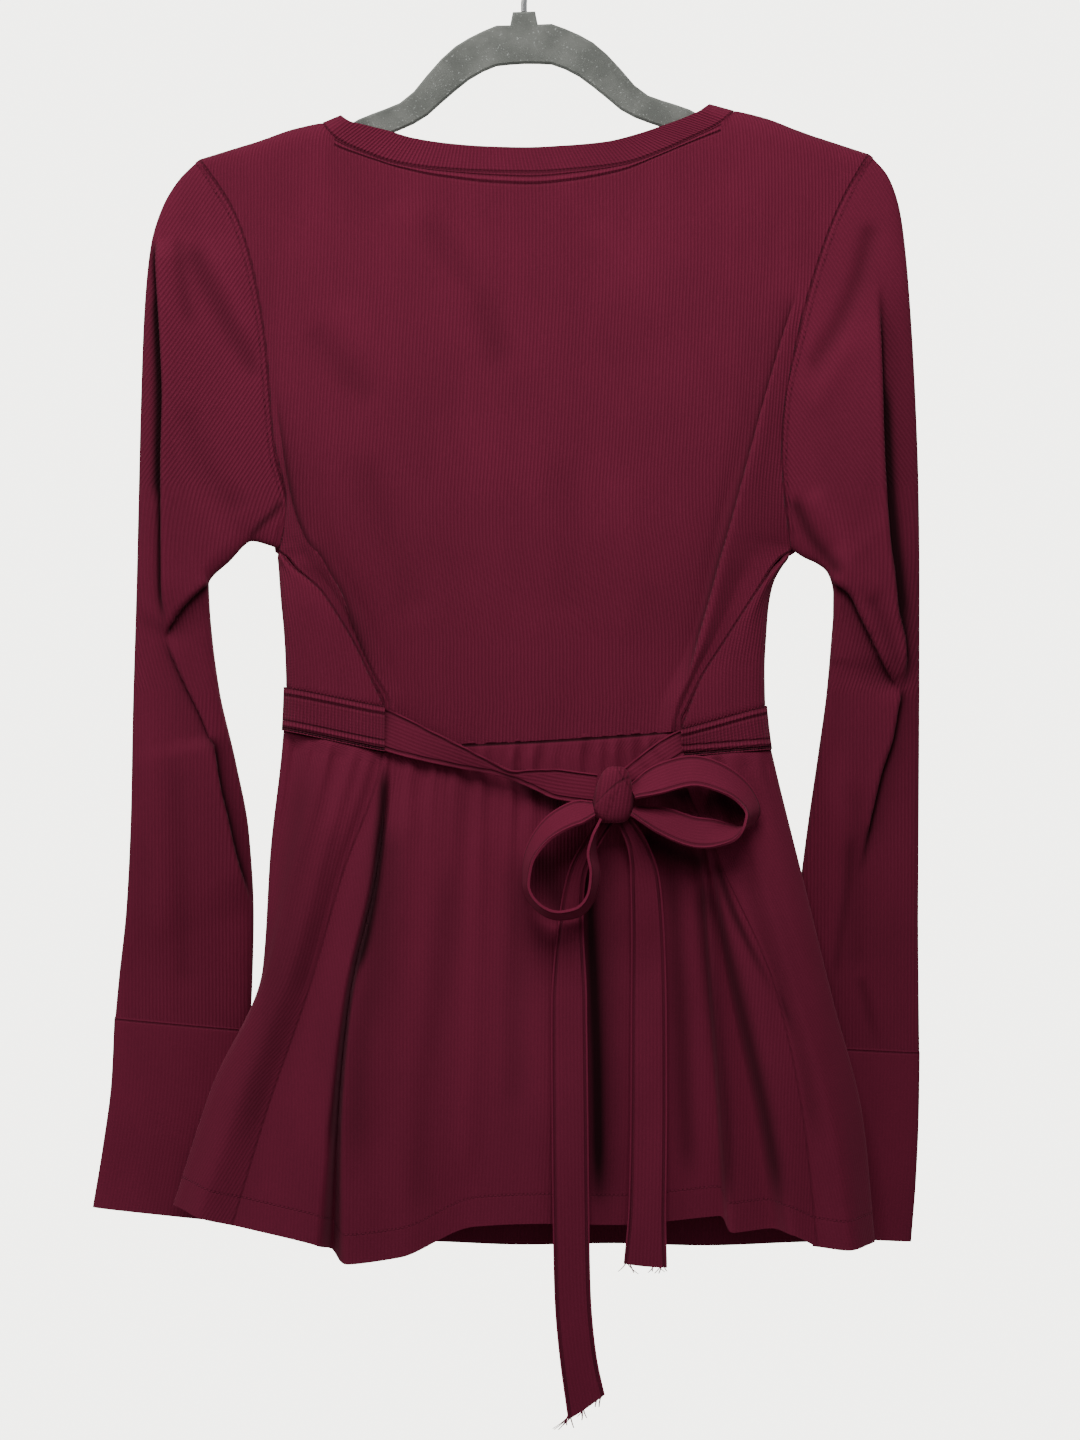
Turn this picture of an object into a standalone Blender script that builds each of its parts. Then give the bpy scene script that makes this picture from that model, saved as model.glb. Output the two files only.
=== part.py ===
"""Long-sleeved rib-knit babydoll top, hung by a slim hanger.

Lengths in the tables are millimetres. The frame's origin is the inside top of
the hanger's hook. +Z is up, the side shown (the garment's back) faces -Y, and
+X is to the right of somebody who looks at it. Each sewn piece is a thin wall
built on a grid of points of its middle surface.
"""
import math

import bmesh
import bpy
import numpy as np

# Driving dimensions
MM = 0.001
CLOTH = 1.2               # one layer of rib knit
BAND = 1.6                # two layers: neckband, waistband and cuffs
TIE = 1.9                 # the turned tube of the ties, pressed flat
SEAM = 0.3                # half the gap between two sewn pieces' edges
UNDERARM_EASE = 1.3       # extra gap where the side seam turns under the arm
UNDERARM_REACH = 6.0
SHOULDER_ROLL = 6.0       # height over which a panel rolls into the shoulder seam
HANGER_THICK = 5.5
WIRE = 3.5                # diameter of the hook's wire
HOOK_INNER = 23.0         # inner radius of the hook
GATHER_DEPTH = 1.7        # height of the gathers under the waist
GATHER_FADE = 0.11        # share of the skirt's length over which they fade
SLEEVE_COLUMNS = 16       # points round a sleeve
SLEEVE_ROWS = 18
SKIRT_ROWS = (0.0, 0.03, 0.08, 0.16, 0.3, 0.47, 0.65, 0.83, 1.0)

# Armhole from the shoulder tip to the underarm: x, z, depth each side of y = 0
# where the cloth lies flat
ARMHOLE_LEFT = (
    (-188.0, -161.0, 4.8), (-178.0, -175.0, 5.2), (-165.0, -198.0, 5.6),
    (-156.0, -230.0, 6.5), (-150.0, -265.0, 7.0), (-147.0, -300.0, 7.0),
    (-144.0, -332.0, 7.0), (-137.0, -364.0, 6.0), (-142.0, -386.0, 1.6),
)
ARMHOLE_RIGHT = (
    (200.0, -158.0, 4.8), (190.0, -174.0, 5.2), (179.0, -197.0, 5.6),
    (168.0, -229.0, 6.5), (159.0, -264.0, 7.0), (151.0, -300.0, 7.0),
    (149.0, -335.0, 7.0), (152.0, -364.0, 6.0), (155.0, -386.0, 1.6),
)
# Side seam, drawn round onto the back, from the underarm to the waist: x, z, y
SIDE_SEAM_LEFT = (
    (-142.0, -386.0, -1.6), (-132.0, -398.0, -7.6), (-118.0, -410.0, -10.8),
    (-107.0, -426.0, -12.0), (-97.0, -443.0, -12.0), (-89.0, -460.0, -12.0),
    (-81.0, -477.0, -12.0), (-81.0, -490.0, -11.6), (-81.5, -503.5, -11.0),
)
SIDE_SEAM_RIGHT = (
    (155.0, -386.0, -1.6), (144.5, -397.0, -7.6), (135.5, -410.0, -10.8),
    (125.0, -426.0, -12.0), (114.0, -443.0, -12.0), (102.5, -461.0, -12.0),
    (94.0, -479.0, -12.0), (91.0, -487.0, -11.6), (91.0, -492.5, -11.0),
)
# Top edge of the back panel, shoulder tip to shoulder tip: x, z
BACK_TOP = (
    (-188.0, -161.0), (-152.0, -150.0), (-117.0, -140.0), (-112.0, -146.5),
    (-100.0, -154.0), (-60.0, -166.0), (0.0, -169.0), (56.0, -164.0),
    (99.0, -147.5), (116.0, -138.5), (122.0, -133.0), (160.0, -145.0),
    (200.0, -158.0),
)
# Top edge of the front panel, with its scooped neck: x, z
FRONT_TOP = (
    (-188.0, -161.0), (-152.0, -150.0), (-117.0, -140.0), (-113.0, -147.5),
    (-104.0, -162.0), (-90.0, -184.0), (-70.0, -208.0), (-42.0, -228.0),
    (2.0, -237.0), (46.0, -228.0), (74.0, -207.0), (94.0, -182.0),
    (108.5, -158.0), (117.5, -141.5), (122.0, -133.0), (160.0, -145.0),
    (200.0, -158.0),
)
NECK_LEFT, NECK_RIGHT = -117.0, 122.0
# Fold that stands along each side seam of the back: z, x of its crest, y there
BACK_CREST_LEFT = (
    (-161.0, -162.0, -5.0), (-230.0, -144.0, -6.6), (-300.0, -140.0, -8.6),
    (-364.0, -130.0, -13.0), (-398.0, -115.0, -16.0), (-426.0, -100.0, -16.0),
    (-460.0, -84.0, -14.0), (-477.0, -75.5, -12.8), (-504.0, -73.0, -11.6),
)
BACK_CREST_RIGHT = (
    (-158.0, 170.0, -5.0), (-229.0, 152.0, -6.6), (-300.0, 142.0, -8.6),
    (-335.0, 134.0, -12.0), (-364.0, 125.0, -14.0), (-410.0, 113.0, -16.0),
    (-442.0, 104.0, -15.0), (-461.0, 95.5, -14.0), (-479.0, 87.5, -13.0),
    (-493.0, 84.0, -12.0),
)
# Depth of the flat part of each panel: z, back, front
PANEL_DEPTH = (
    (-130.0, -5.0, 5.0), (-200.0, -5.6, 5.8), (-280.0, -8.0, 7.4),
    (-380.0, -10.4, 8.4), (-450.0, -8.8, 8.4), (-505.0, -9.4, 8.2),
)
# Outline of the body under the arms: z, left x, right x
BODY_SIDES = (
    (-386.0, -143.0, 156.0), (-391.5, -142.6, 153.0), (-398.0, -142.0, 148.5),
    (-412.0, -141.0, 142.5), (-440.0, -138.5, 140.0), (-466.0, -137.5, 139.0), (-505.0, -139.0, 143.0),
)
# Rows of both body panels under the arms: z at left seam, left side, middle,
# right side, right seam
WRAPPED_ROWS = (
    (-391.5, -391.2, -388.5, -391.2, -391.5), (-398.0, -396.4, -393.0, -396.4, -397.4),
    (-410.0, -405.5, -404.0, -406.0, -410.0), (-426.0, -417.5, -417.5, -420.0, -426.0),
    (-443.0, -432.0, -434.0, -437.0, -443.0), (-460.0, -448.0, -452.0, -456.0, -461.0),
    (-476.8, -465.6, -471.6, -476.6, -489.6),
)
# Rows of the back panel beside the band's ends: z at left, at right
BACK_LAST_ROWS = ((-477.0, -477.0), (-490.0, -485.5), (-503.2, -492.2))
# Waistband edges: z at left end, left side, middle, right side, right end
BAND_TOP = (-477.6, -466.4, -472.4, -477.4, -490.4)
BAND_BOTTOM = (-503.6, -491.6, -498.0, -502.6, -506.6)
BAND_ENDS = (-82.0, 92.4)
BAND_END_DEPTH = -13.2

# Skirt side seams, drawn round onto the back: z, x, y
SKIRT_SEAM_LEFT = (
    (-504.2, -81.5, -11.0), (-520.0, -84.5, -13.0), (-573.0, -104.0, -15.0),
    (-641.0, -124.0, -16.0), (-709.0, -147.5, -17.0), (-777.0, -168.0, -18.0),
)
SKIRT_SEAM_RIGHT = (
    (-493.2, 91.0, -11.0), (-512.0, 92.0, -13.0), (-567.0, 113.0, -18.0),
    (-641.0, 145.0, -20.0), (-715.0, 161.0, -21.0), (-789.0, 169.0, -22.0),
)
# Shares of the skirt's length at which the tables below give each fold
SKIRT_LEVELS = (0.0, 0.06, 0.25, 0.5, 0.75, 1.0)
# Back skirt folds: x at each level, y at each level, top z, hem z, columns to next
BACK_SKIRT = (
    ("seam left", None, None, -504.2, -777.0, 3),
    ("left fold edge", (-79, -81, -88.5, -104.5, -112.5, -120),
     (-11, -13, -20, -22, -23, -24), -504.0, -788.0, 2),
    ("left fold depth", (-77, -78, -85.5, -101.2, -108, -111),
     (-10.5, -11, -12, -9, -6, -5), -503.9, -792.0, 2),
    ("main left edge", (-74, -75, -82, -98, -103, -101.5),
     (-10.5, -12, -18.5, -22, -24, -24), -503.7, -799.0, 8),
    ("left swell", (-50, -51, -54, -60, -66, -71),
     (-10, -11.5, -16.5, -20, -22, -23), -502.0, -795.0, 8),
    ("middle hollow", (-19, -19, -20, -22, -24, -29),
     (-10, -10.5, -12, -13.5, -15, -15), -500.6, -778.0, 8),
    ("middle swell", (13, 13, 13, 13, 13, 12),
     (-10, -11, -14, -16, -17.5, -18), -499.0, -776.0, 8),
    ("right hollow", (45, 46, 48, 51, 53, 54),
     (-10, -10.5, -12, -13.5, -14, -14.5), -497.0, -777.0, 8),
    ("under middle flap", (75, 78, 98, 104, 109, 113),
     (-10, -11, -12.5, -12.5, -12, -12), -494.6, -772.0, 2),
    ("middle flap edge", (80, 83, 103, 109.5, 115.5, 120.5),
     (-10.5, -12.5, -17, -19, -20, -20), -494.0, -781.0, 2),
    ("under right flap", (83, 86, 106, 117, 131, 143),
     (-10.8, -12.6, -16, -15, -14, -14), -493.8, -779.0, 2),
    ("right flap edge", (86.5, 88.5, 109, 125.5, 143, 155),
     (-11, -13, -19.5, -23, -25, -26), -493.5, -782.0, 3),
    ("seam right", None, None, -493.2, -789.0, 0),
)
# Front skirt folds, from the left seam round the front to the right seam: the
# same columns, the top z read off the band's lower edge
FRONT_SKIRT = (
    ("seam left", None, None, None, -777.0, 4),
    ("left flap", (-98, -102, -117, -137, -163, -186),
     (-12, -14.5, -19, -21, -21, -20), None, -773.0, 4),
    ("left flap ridge", (-113, -116, -130, -147.5, -175, -197),
     (-12, -14, -17, -16.5, -13, -10), None, -768.5, 2),
    ("left recess", (-123, -126, -137, -149.5, -178.5, -201),
     (-9, -9, -9.5, -11, -8, -5), None, -767.2, 3),
    ("left side", (-139, -140.5, -146.5, -151, -180.5, -203),
     (-1, -1, -1, -3, -2, 0), None, -767.0, 2),
    ("left turn", (-134, -136, -142, -147.5, -174, -197),
     (6, 7, 8, 8, 8, 7), None, -769.0, 4),
    ("front fold 1", (-108, -110, -117, -124, -140, -156),
     (8.2, 10, 13, 15, 16, 16), None, -777.0, 4),
    ("front fold 2", (-73, -74, -78, -83, -92, -101),
     (8.2, 9, 10, 10.5, 11, 11), None, -785.0, 4),
    ("front fold 3", (-38, -38, -40, -42, -46, -50),
     (8.2, 10.5, 14, 17, 18, 19), None, -790.0, 4),
    ("front fold 4", (0, 0, 0, 0, 0, 0),
     (8.2, 9, 10, 10.5, 11, 11), None, -791.0, 4),
    ("front fold 5", (38, 38, 41, 44, 48, 52),
     (8.2, 10.5, 14, 17, 18, 19), None, -791.0, 4),
    ("front fold 6", (76, 77, 82, 90, 98, 105),
     (8.2, 9, 10, 10.5, 11, 11), None, -791.5, 4),
    ("front fold 7", (112, 114, 126, 138, 149, 158),
     (8.2, 10, 13, 14, 15, 15), None, -790.0, 4),
    ("right turn", (138, 142, 155, 171, 189, 197),
     (6, 6.5, 7, 7, 7, 7), None, -788.5, 2),
    ("right side", (143, 147, 160.5, 178, 196, 203),
     (-1, -1, -1, -2, -2, -1), None, -788.0, 3),
    ("right recess", (138, 142, 154, 171, 189, 198),
     (-8.5, -9, -12, -13, -13, -12), None, -789.0, 2),
    ("right flap", (116, 120, 135, 157, 176, 187),
     (-12.5, -15, -20, -22, -23.5, -24), None, -791.0, 4),
    ("seam right", None, None, None, -789.0, 0),
)
# Sleeve rings from armhole to cuff: outer x, z, inner x, z, y of the middle,
# half depth
LEFT_SLEEVE = (
    (-188.0, -161.0, -142.0, -386.0, 0.0, 7.0),
    (-200.0, -173.0, -149.0, -383.5, 0.2, 7.4),
    (-209.5, -189.0, -158.0, -381.5, 0.6, 7.8),
    (-216.5, -213.0, -171.0, -393.0, 1.4, 8.0),
    (-220.0, -250.0, -183.5, -407.0, 3.0, 8.2),
    (-222.0, -300.0, -183.0, -421.0, 5.0, 8.4),
    (-223.5, -352.0, -181.5, -440.0, 8.0, 8.6),
    (-225.0, -407.0, -177.5, -470.0, 11.0, 8.6),
    (-227.5, -480.0, -168.5, -510.0, 15.0, 8.4),
    (-229.0, -540.0, -161.0, -552.0, 19.5, 8.0),
    (-232.0, -595.0, -158.5, -598.0, 24.0, 7.4),
    (-236.5, -635.0, -159.5, -638.0, 27.5, 6.8),
    (-239.0, -660.0, -161.0, -667.0, 29.0, 6.2),
)
RIGHT_SLEEVE = (
    (200.0, -158.0, 155.0, -386.0, 0.0, 7.0),
    (211.0, -171.0, 162.5, -391.0, 0.2, 7.4),
    (217.5, -190.0, 170.0, -394.5, 0.6, 7.8),
    (221.0, -215.0, 176.5, -400.0, 1.4, 8.0),
    (224.0, -250.0, 180.0, -412.0, 3.0, 8.2),
    (227.0, -300.0, 180.0, -424.0, 5.0, 8.4),
    (229.0, -352.0, 179.0, -440.0, 8.0, 8.6),
    (229.8, -407.0, 176.5, -470.0, 11.0, 8.6),
    (230.0, -480.0, 172.0, -505.0, 16.0, 8.4),
    (230.0, -540.0, 166.0, -548.0, 21.0, 8.0),
    (230.0, -595.0, 160.0, -597.0, 25.5, 7.4),
    (230.5, -640.0, 155.0, -640.0, 28.5, 6.8),
    (231.0, -680.0, 153.0, -676.0, 30.0, 6.2),
)
LEFT_CUFF = (
    (-239.2, -660.5, -161.0, -667.5, 29.0, 6.3),
    (-241.0, -697.0, -161.5, -705.0, 30.0, 6.0),
    (-246.0, -735.0, -163.5, -742.0, 30.5, 5.8),
    (-252.0, -771.0, -166.0, -780.0, 31.0, 6.2),
)
RIGHT_CUFF = (
    (231.0, -680.5, 152.8, -676.5, 30.0, 6.3),
    (230.5, -715.0, 152.0, -711.0, 30.5, 6.0),
    (229.0, -752.0, 151.0, -748.0, 31.0, 5.8),
    (226.0, -791.0, 150.0, -787.0, 31.5, 6.2),
)
# Creases raised (+) or sunk (-) on a layer that faces -Y: height, width, points x, z
LEFT_SLEEVE_CREASES = (
    (-4.6, 2.6, ((-204, -206), (-208, -262), (-208.5, -330), (-211, -370), (-212, -398))),
    (3.0, 5.0, ((-204, -250), (-204, -330), (-207, -385), (-208, -415), (-206, -432))),
    (3.4, 5.0, ((-206, -434), (-197, -425), (-185, -411), (-172, -397), (-158, -384))),
    (-4.0, 4.0, ((-203, -448), (-193, -434), (-182, -423))),
    (3.2, 4.0, ((-207, -440), (-196, -462), (-186, -484), (-176, -528), (-163, -588))),
    (-4.0, 3.4, ((-172, -512), (-166, -540), (-161, -566))),
    (-1.6, 5.0, ((-190, -192), (-182, -228), (-171, -268), (-160, -284))),
)
RIGHT_SLEEVE_CREASES = (
    (-4.6, 2.6, ((204, -240), (210, -294), (212, -350), (215, -400), (218, -440))),
    (3.0, 5.0, ((200, -290), (207, -346), (209, -378), (213, -410), (219, -462))),
    (3.0, 5.0, ((156, -356), (174, -368), (184, -390), (196, -404), (209, -424))),
    (-3.6, 4.0, ((184, -412), (196, -430), (208, -452))),
    (3.2, 4.0, ((182, -410), (197, -428), (209, -450), (219, -468), (214, -520))),
    (-1.6, 5.0, ((196, -190), (186, -228), (172, -262), (163, -280))),
)
# Free edge of the neckband: x on its seam, x and z of the free edge there
NECKBAND_BACK = (
    (-117.0, -106.0, -135.4), (-112.0, -101.4, -138.6), (-100.0, -85.0, -142.6),
    (-60.0, -54.0, -150.6), (0.0, -3.0, -154.0), (56.0, 45.0, -151.0),
    (99.0, 80.0, -141.6), (117.0, 102.4, -132.4), (122.0, 107.4, -129.0),
)
NECKBAND_FRONT = (
    (-117.0, -106.0, -135.4), (-113.0, -101.0, -140.6), (-104.0, -92.0, -154.5),
    (-90.0, -78.6, -175.6), (-70.0, -60.5, -197.6), (-42.0, -36.8, -215.0),
    (2.0, 1.6, -223.0), (46.0, 40.6, -215.0), (74.0, 64.0, -197.0),
    (94.0, 82.4, -173.8), (108.5, 96.6, -150.7), (117.5, 105.0, -134.6),
    (122.0, 107.4, -129.0),
)
# Ribbons: x, y, z of the middle line, width, turn of its face from the viewer
STRAP_LEFT = (
    (-80.4, -15.7, -490.8, 25.0, 0.0), (-61.0, -17.0, -498.5, 19.5, 4.0),
    (-38.0, -18.6, -506.0, 14.5, 12.0), (-18.0, -20.0, -512.5, 9.0, 24.0),
    (-8.0, -20.8, -516.0, 7.5, 24.0), (6.0, -21.6, -520.0, 10.0, 10.0),
    (22.0, -22.8, -525.0, 12.0, 4.0), (41.2, -24.4, -528.0, 11.0, 0.0),
)
STRAP_RIGHT = (
    (91.2, -15.7, -498.0, 16.0, 0.0), (81.0, -18.2, -504.6, 15.0, 6.0),
    (71.0, -20.6, -511.0, 13.0, 8.0), (59.2, -23.6, -519.0, 11.0, 4.0),
)
# Bow loops: x, y, z of the middle line
LOOP_RIGHT = (
    (62.4, -31.0, -526.8), (82.0, -32.0, -520.6), (98.0, -32.0, -517.5),
    (114.0, -32.0, -521.0), (126.0, -32.0, -528.5), (131.5, -32.0, -538.0),
    (127.0, -32.0, -546.0), (114.0, -32.0, -549.0), (100.0, -31.6, -547.5),
    (82.0, -31.0, -542.6), (62.4, -30.0, -537.4),
)
LOOP_LEFT = (
    (40.2, -32.0, -536.6), (30.0, -32.0, -539.0), (18.0, -32.0, -545.0),
    (8.0, -32.4, -555.0), (2.0, -32.6, -568.0), (1.0, -32.8, -581.0),
    (7.0, -32.8, -592.0), (19.0, -32.8, -598.0), (31.0, -32.8, -596.0),
    (39.0, -32.8, -586.0), (41.0, -32.8, -573.0), (39.0, -32.4, -562.0),
    (40.4, -32.0, -554.0), (44.2, -31.4, -547.6),
)
# Direction of the width of each loop's ribbon, and its width
LOOP_RIGHT_ACROSS = (0.0, -0.76, -0.65)
LOOP_LEFT_ACROSS = (0.26, -0.96, -0.05)
LOOP_WIDTH = 20.0
TAIL_LONG = (
    (48.0, -23.8, -546.2, 8.0, 0.0), (38.6, -19.6, -557.0, 9.0, 0.0),
    (30.0, -18.0, -576.0, 11.0, 0.0), (26.8, -18.4, -607.0, 15.0, 0.0),
    (26.0, -19.6, -648.0, 20.5, 0.0), (26.5, -21.2, -706.0, 21.0, 0.0),
    (27.0, -22.6, -764.0, 21.0, 0.0), (28.0, -23.4, -816.0, 21.0, 0.0),
    (31.0, -23.8, -851.0, 21.0, 0.0), (36.0, -23.8, -881.0, 21.5, 0.0),
)
TAIL_SHORT = (
    (56.8, -26.2, -545.2, 8.0, 0.0), (65.6, -20.4, -558.0, 12.0, 0.0),
    (70.0, -17.6, -578.0, 17.0, 0.0), (71.5, -17.2, -613.0, 19.5, 0.0),
    (72.0, -17.4, -648.0, 20.5, 0.0), (72.0, -18.2, -706.0, 21.0, 0.0),
    (71.2, -19.0, -764.0, 21.5, 0.0), (70.0, -19.4, -800.0, 25.0, 0.0),
)
KNOT_CENTRE = (51.6, -28.0, -531.0)
KNOT_HALF = (10.6, 7.6, 15.5)

# Hanger outline, from its middle to its tip: distance from the middle, top z,
# lower z
HANGER = (
    (0.0, -80.0, -105.0), (14.0, -82.0, -105.6), (28.0, -87.4, -111.0),
    (40.0, -94.0, -119.6), (50.0, -103.0, -128.0), (57.0, -111.0, -134.0),
    (65.0, -120.4, -138.4), (73.0, -126.2, -141.6), (85.0, -130.4, -146.0),
    (98.0, -135.4, -151.0), (106.0, -140.2, -154.4), (120.0, -144.6, -159.0),
    (150.0, -151.8, -166.8), (175.0, -160.6, -175.4), (188.0, -166.8, -181.0),
    (196.0, -174.0, -185.6), (199.0, -179.0, -184.0),
)
HANGER_TILT = 0.03        # rise to the right for each millimetre along it
COLLAR = (8.0, -75.0, -82.0)   # half width, top z, z where it meets the hump

BURGUNDY = (0.142, 0.021, 0.048, 1.0)
VELVET = (0.142, 0.175, 0.162, 1.0)
STEEL = (0.62, 0.63, 0.64, 1.0)


def through(places, values, wanted):
    """Smooth curve through a table's rows that never swings past a row."""
    places = np.asarray(places, float)
    values = np.asarray(values, float)
    wanted = np.asarray(wanted, float)
    flat = values.ndim == 1
    if flat:
        values = values[:, None]
    if places[0] > places[-1]:
        places, values = places[::-1], values[::-1]
    step = np.diff(places)
    slope = np.diff(values, axis=0) / step[:, None]
    steepness = np.zeros_like(values)
    steepness[0], steepness[-1] = slope[0], slope[-1]
    product = slope[:-1] * slope[1:]
    total = slope[:-1] + slope[1:]
    inner = np.where(product > 0, 2 * product / np.where(total == 0, 1, total), 0)
    steepness[1:-1] = inner
    index = np.clip(np.searchsorted(places, wanted) - 1, 0, len(step) - 1)
    t = np.clip((wanted - places[index]) / step[index], 0, 1)[:, None]
    h = step[index][:, None]
    result = ((2 * t ** 3 - 3 * t ** 2 + 1) * values[index]
              + (t ** 3 - 2 * t ** 2 + t) * h * steepness[index]
              + (3 * t ** 2 - 2 * t ** 3) * values[index + 1]
              + (t ** 3 - t ** 2) * h * steepness[index + 1])
    return result[:, 0] if flat else result


def column(table, index):
    """One named column of a table."""
    return [row[index] for row in table]


def material(name, colour, roughness, metallic=0.0):
    """Principled material with its plain colour."""
    made = bpy.data.materials.new(name)
    made.use_nodes = True
    shader = made.node_tree.nodes["Principled BSDF"]
    shader.inputs["Base Color"].default_value = colour
    shader.inputs["Roughness"].default_value = roughness
    shader.inputs["Metallic"].default_value = metallic
    made.diffuse_color = colour
    return made


def solid(name, points, faces, look, smooth=True):
    """Closed mesh object with its faces pointing out, from points in millimetres."""
    mesh = bpy.data.meshes.new(name)
    mesh.from_pydata([tuple(float(value) * MM for value in p) for p in points], [], faces)
    shape = bmesh.new()
    shape.from_mesh(mesh)
    bmesh.ops.recalc_face_normals(shape, faces=shape.faces)
    if shape.calc_volume(signed=True) < 0:
        bmesh.ops.reverse_faces(shape, faces=shape.faces)
    shape.to_mesh(mesh)
    shape.free()
    thing = bpy.data.objects.new(name, mesh)
    bpy.context.scene.collection.objects.link(thing)
    mesh.materials.append(look)
    if smooth:
        mesh.shade_smooth()
        mesh.set_sharp_from_angle(angle=math.radians(50))
    return thing


def surface_normals(grid, ring):
    """Unit normals of a grid of points, rows by columns."""
    if ring:
        along = np.roll(grid, -1, axis=1) - np.roll(grid, 1, axis=1)
    else:
        along = np.gradient(grid, axis=1)
    across = np.gradient(grid, axis=0)
    normal = np.cross(along, across)
    return normal / np.maximum(np.linalg.norm(normal, axis=2, keepdims=True), 1e-9)


def wall(name, grid, thickness, look, ring=False):
    """Wall of even thickness round a grid of points of its middle surface."""
    normal = surface_normals(grid, ring)
    rows, columns = grid.shape[:2]
    points = np.concatenate([
        (grid + normal * thickness / 2).reshape(-1, 3),
        (grid - normal * thickness / 2).reshape(-1, 3)])
    under = rows * columns
    faces = []
    last = columns if ring else columns - 1
    for r in range(rows - 1):
        for c in range(last):
            d = (c + 1) % columns
            a, b, e, f = r * columns + c, r * columns + d, (r + 1) * columns + d, (r + 1) * columns + c
            faces.append((a, b, e, f))
            faces.append((under + f, under + e, under + b, under + a))
    for r in (0, rows - 1):
        for c in range(last):
            a, b = r * columns + c, r * columns + (c + 1) % columns
            faces.append((a, b, under + b, under + a))
    if not ring:
        for c in (0, columns - 1):
            for r in range(rows - 1):
                a, b = r * columns + c, (r + 1) * columns + c
                faces.append((a, b, under + b, under + a))
    return solid(name, points, faces, look)


def armhole_table(side):
    """Rows of one armhole."""
    return ARMHOLE_LEFT if side < 0 else ARMHOLE_RIGHT


def armhole_points(side, heights):
    """x and depth of an armhole where the cloth lies flat, at the given heights."""
    table = armhole_table(side)
    return through(column(table, 1), [(row[0], row[2]) for row in table], heights)


def armhole_heights(side):
    """Heights at which the sleeve's ring and the two panels have their points."""
    tip, low = armhole_table(side)[0][1], armhole_table(side)[-1][1]
    half = SLEEVE_COLUMNS // 2
    return [tip + (low - tip) * (1.0 - squared_cosine(math.pi * step / half)) / 2
            for step in range(half + 1)]


def squared_cosine(angle):
    """Cosine made fuller, so that a flattened ring has nearly straight sides."""
    return math.copysign(abs(math.cos(angle)) ** 0.85, math.cos(angle))


def rolled(top_y, flat_y, drop):
    """y of a panel that rolls from its top edge down to its flat depth."""
    share = min(max(drop / SHOULDER_ROLL, 0.0), 1.0)
    return top_y + (flat_y - top_y) * math.sqrt(1.0 - (1.0 - share) ** 2)


def panel_edge(side, height, sign):
    """x and y of a body panel's sewn edge: armhole above, side seam below."""
    seam = SIDE_SEAM_LEFT if side < 0 else SIDE_SEAM_RIGHT
    if height >= seam[0][1]:
        x, depth = armhole_points(side, [height])[0]
        return x - side * SEAM, depth * sign
    x, y = through(column(seam, 1), [(row[0], row[2]) for row in seam], [height])[0]
    below = (seam[0][1] - height) / UNDERARM_REACH
    ease = SEAM + UNDERARM_EASE * below * math.exp(1.0 - below)
    return x + side * sign * ease, y


def spread(stations, counts):
    """Column positions: each stretch between two stations cut into equal steps."""
    places = [0.0]
    for index, count in enumerate(counts):
        places += [index + (step + 1) / count for step in range(count)]
    return through(range(len(stations)), stations, places)


def flat_depth(height):
    """y of the flat parts of the back and the front at a height."""
    return through(column(PANEL_DEPTH, 0), [row[1:] for row in PANEL_DEPTH], [height])[0]


def panel_rows():
    """Heights of a panel's rows at its two armholes, from the shoulder down."""
    left, right = armhole_heights(-1), armhole_heights(1)
    return [(left[0], right[0]), (left[0] - 2.0, right[0] - 2.0)] + list(zip(left, right))[1:]


def neck_stations(edge_left, edge_right, share, offsets):
    """x of the columns beside the neck, which spread out towards the waist."""
    middle = (edge_left + edge_right) / 2
    step = (middle - edge_left) / (len(offsets) + 1)
    left, right = [], []
    for number, offset in enumerate(offsets):
        low = step * (number + 1)
        left.append((NECK_LEFT + offset) * (1 - share) + (edge_left + low) * share)
        right.append((NECK_RIGHT - offset) * (1 - share) + (edge_right - low) * share)
    return left + [middle] + right[::-1]


def neck_distance(x, z):
    """Distance from the nearer neck point of a point on a panel's top edge."""
    if x <= NECK_LEFT or x >= NECK_RIGHT:
        return 0.0
    (left_z, right_z) = through(column(BACK_TOP, 0), column(BACK_TOP, 1), [NECK_LEFT, NECK_RIGHT])
    return min(math.hypot(x - NECK_LEFT, z - left_z), math.hypot(x - NECK_RIGHT, z - right_z))


def top_points(line, top_table):
    """x and z of each column on a panel's top edge, and the level z there."""
    top_z = through(column(top_table, 0), column(top_table, 1), [point[0] for point in line])
    return [(point[0], float(high), point[2]) for point, high in zip(line, top_z)]


def dropped(line, tops, share):
    """Points of a row pulled to the panel's top edge, more so near the top."""
    points = []
    for (x, y, z), (top_x, top_z, level) in zip(line, tops):
        top_y = rolled(math.copysign(SEAM + CLOTH / 2, y), y, neck_distance(top_x, top_z))
        points.append((x, rolled(top_y, y, level - z), z + (top_z - level) * share))
    return points


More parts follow.
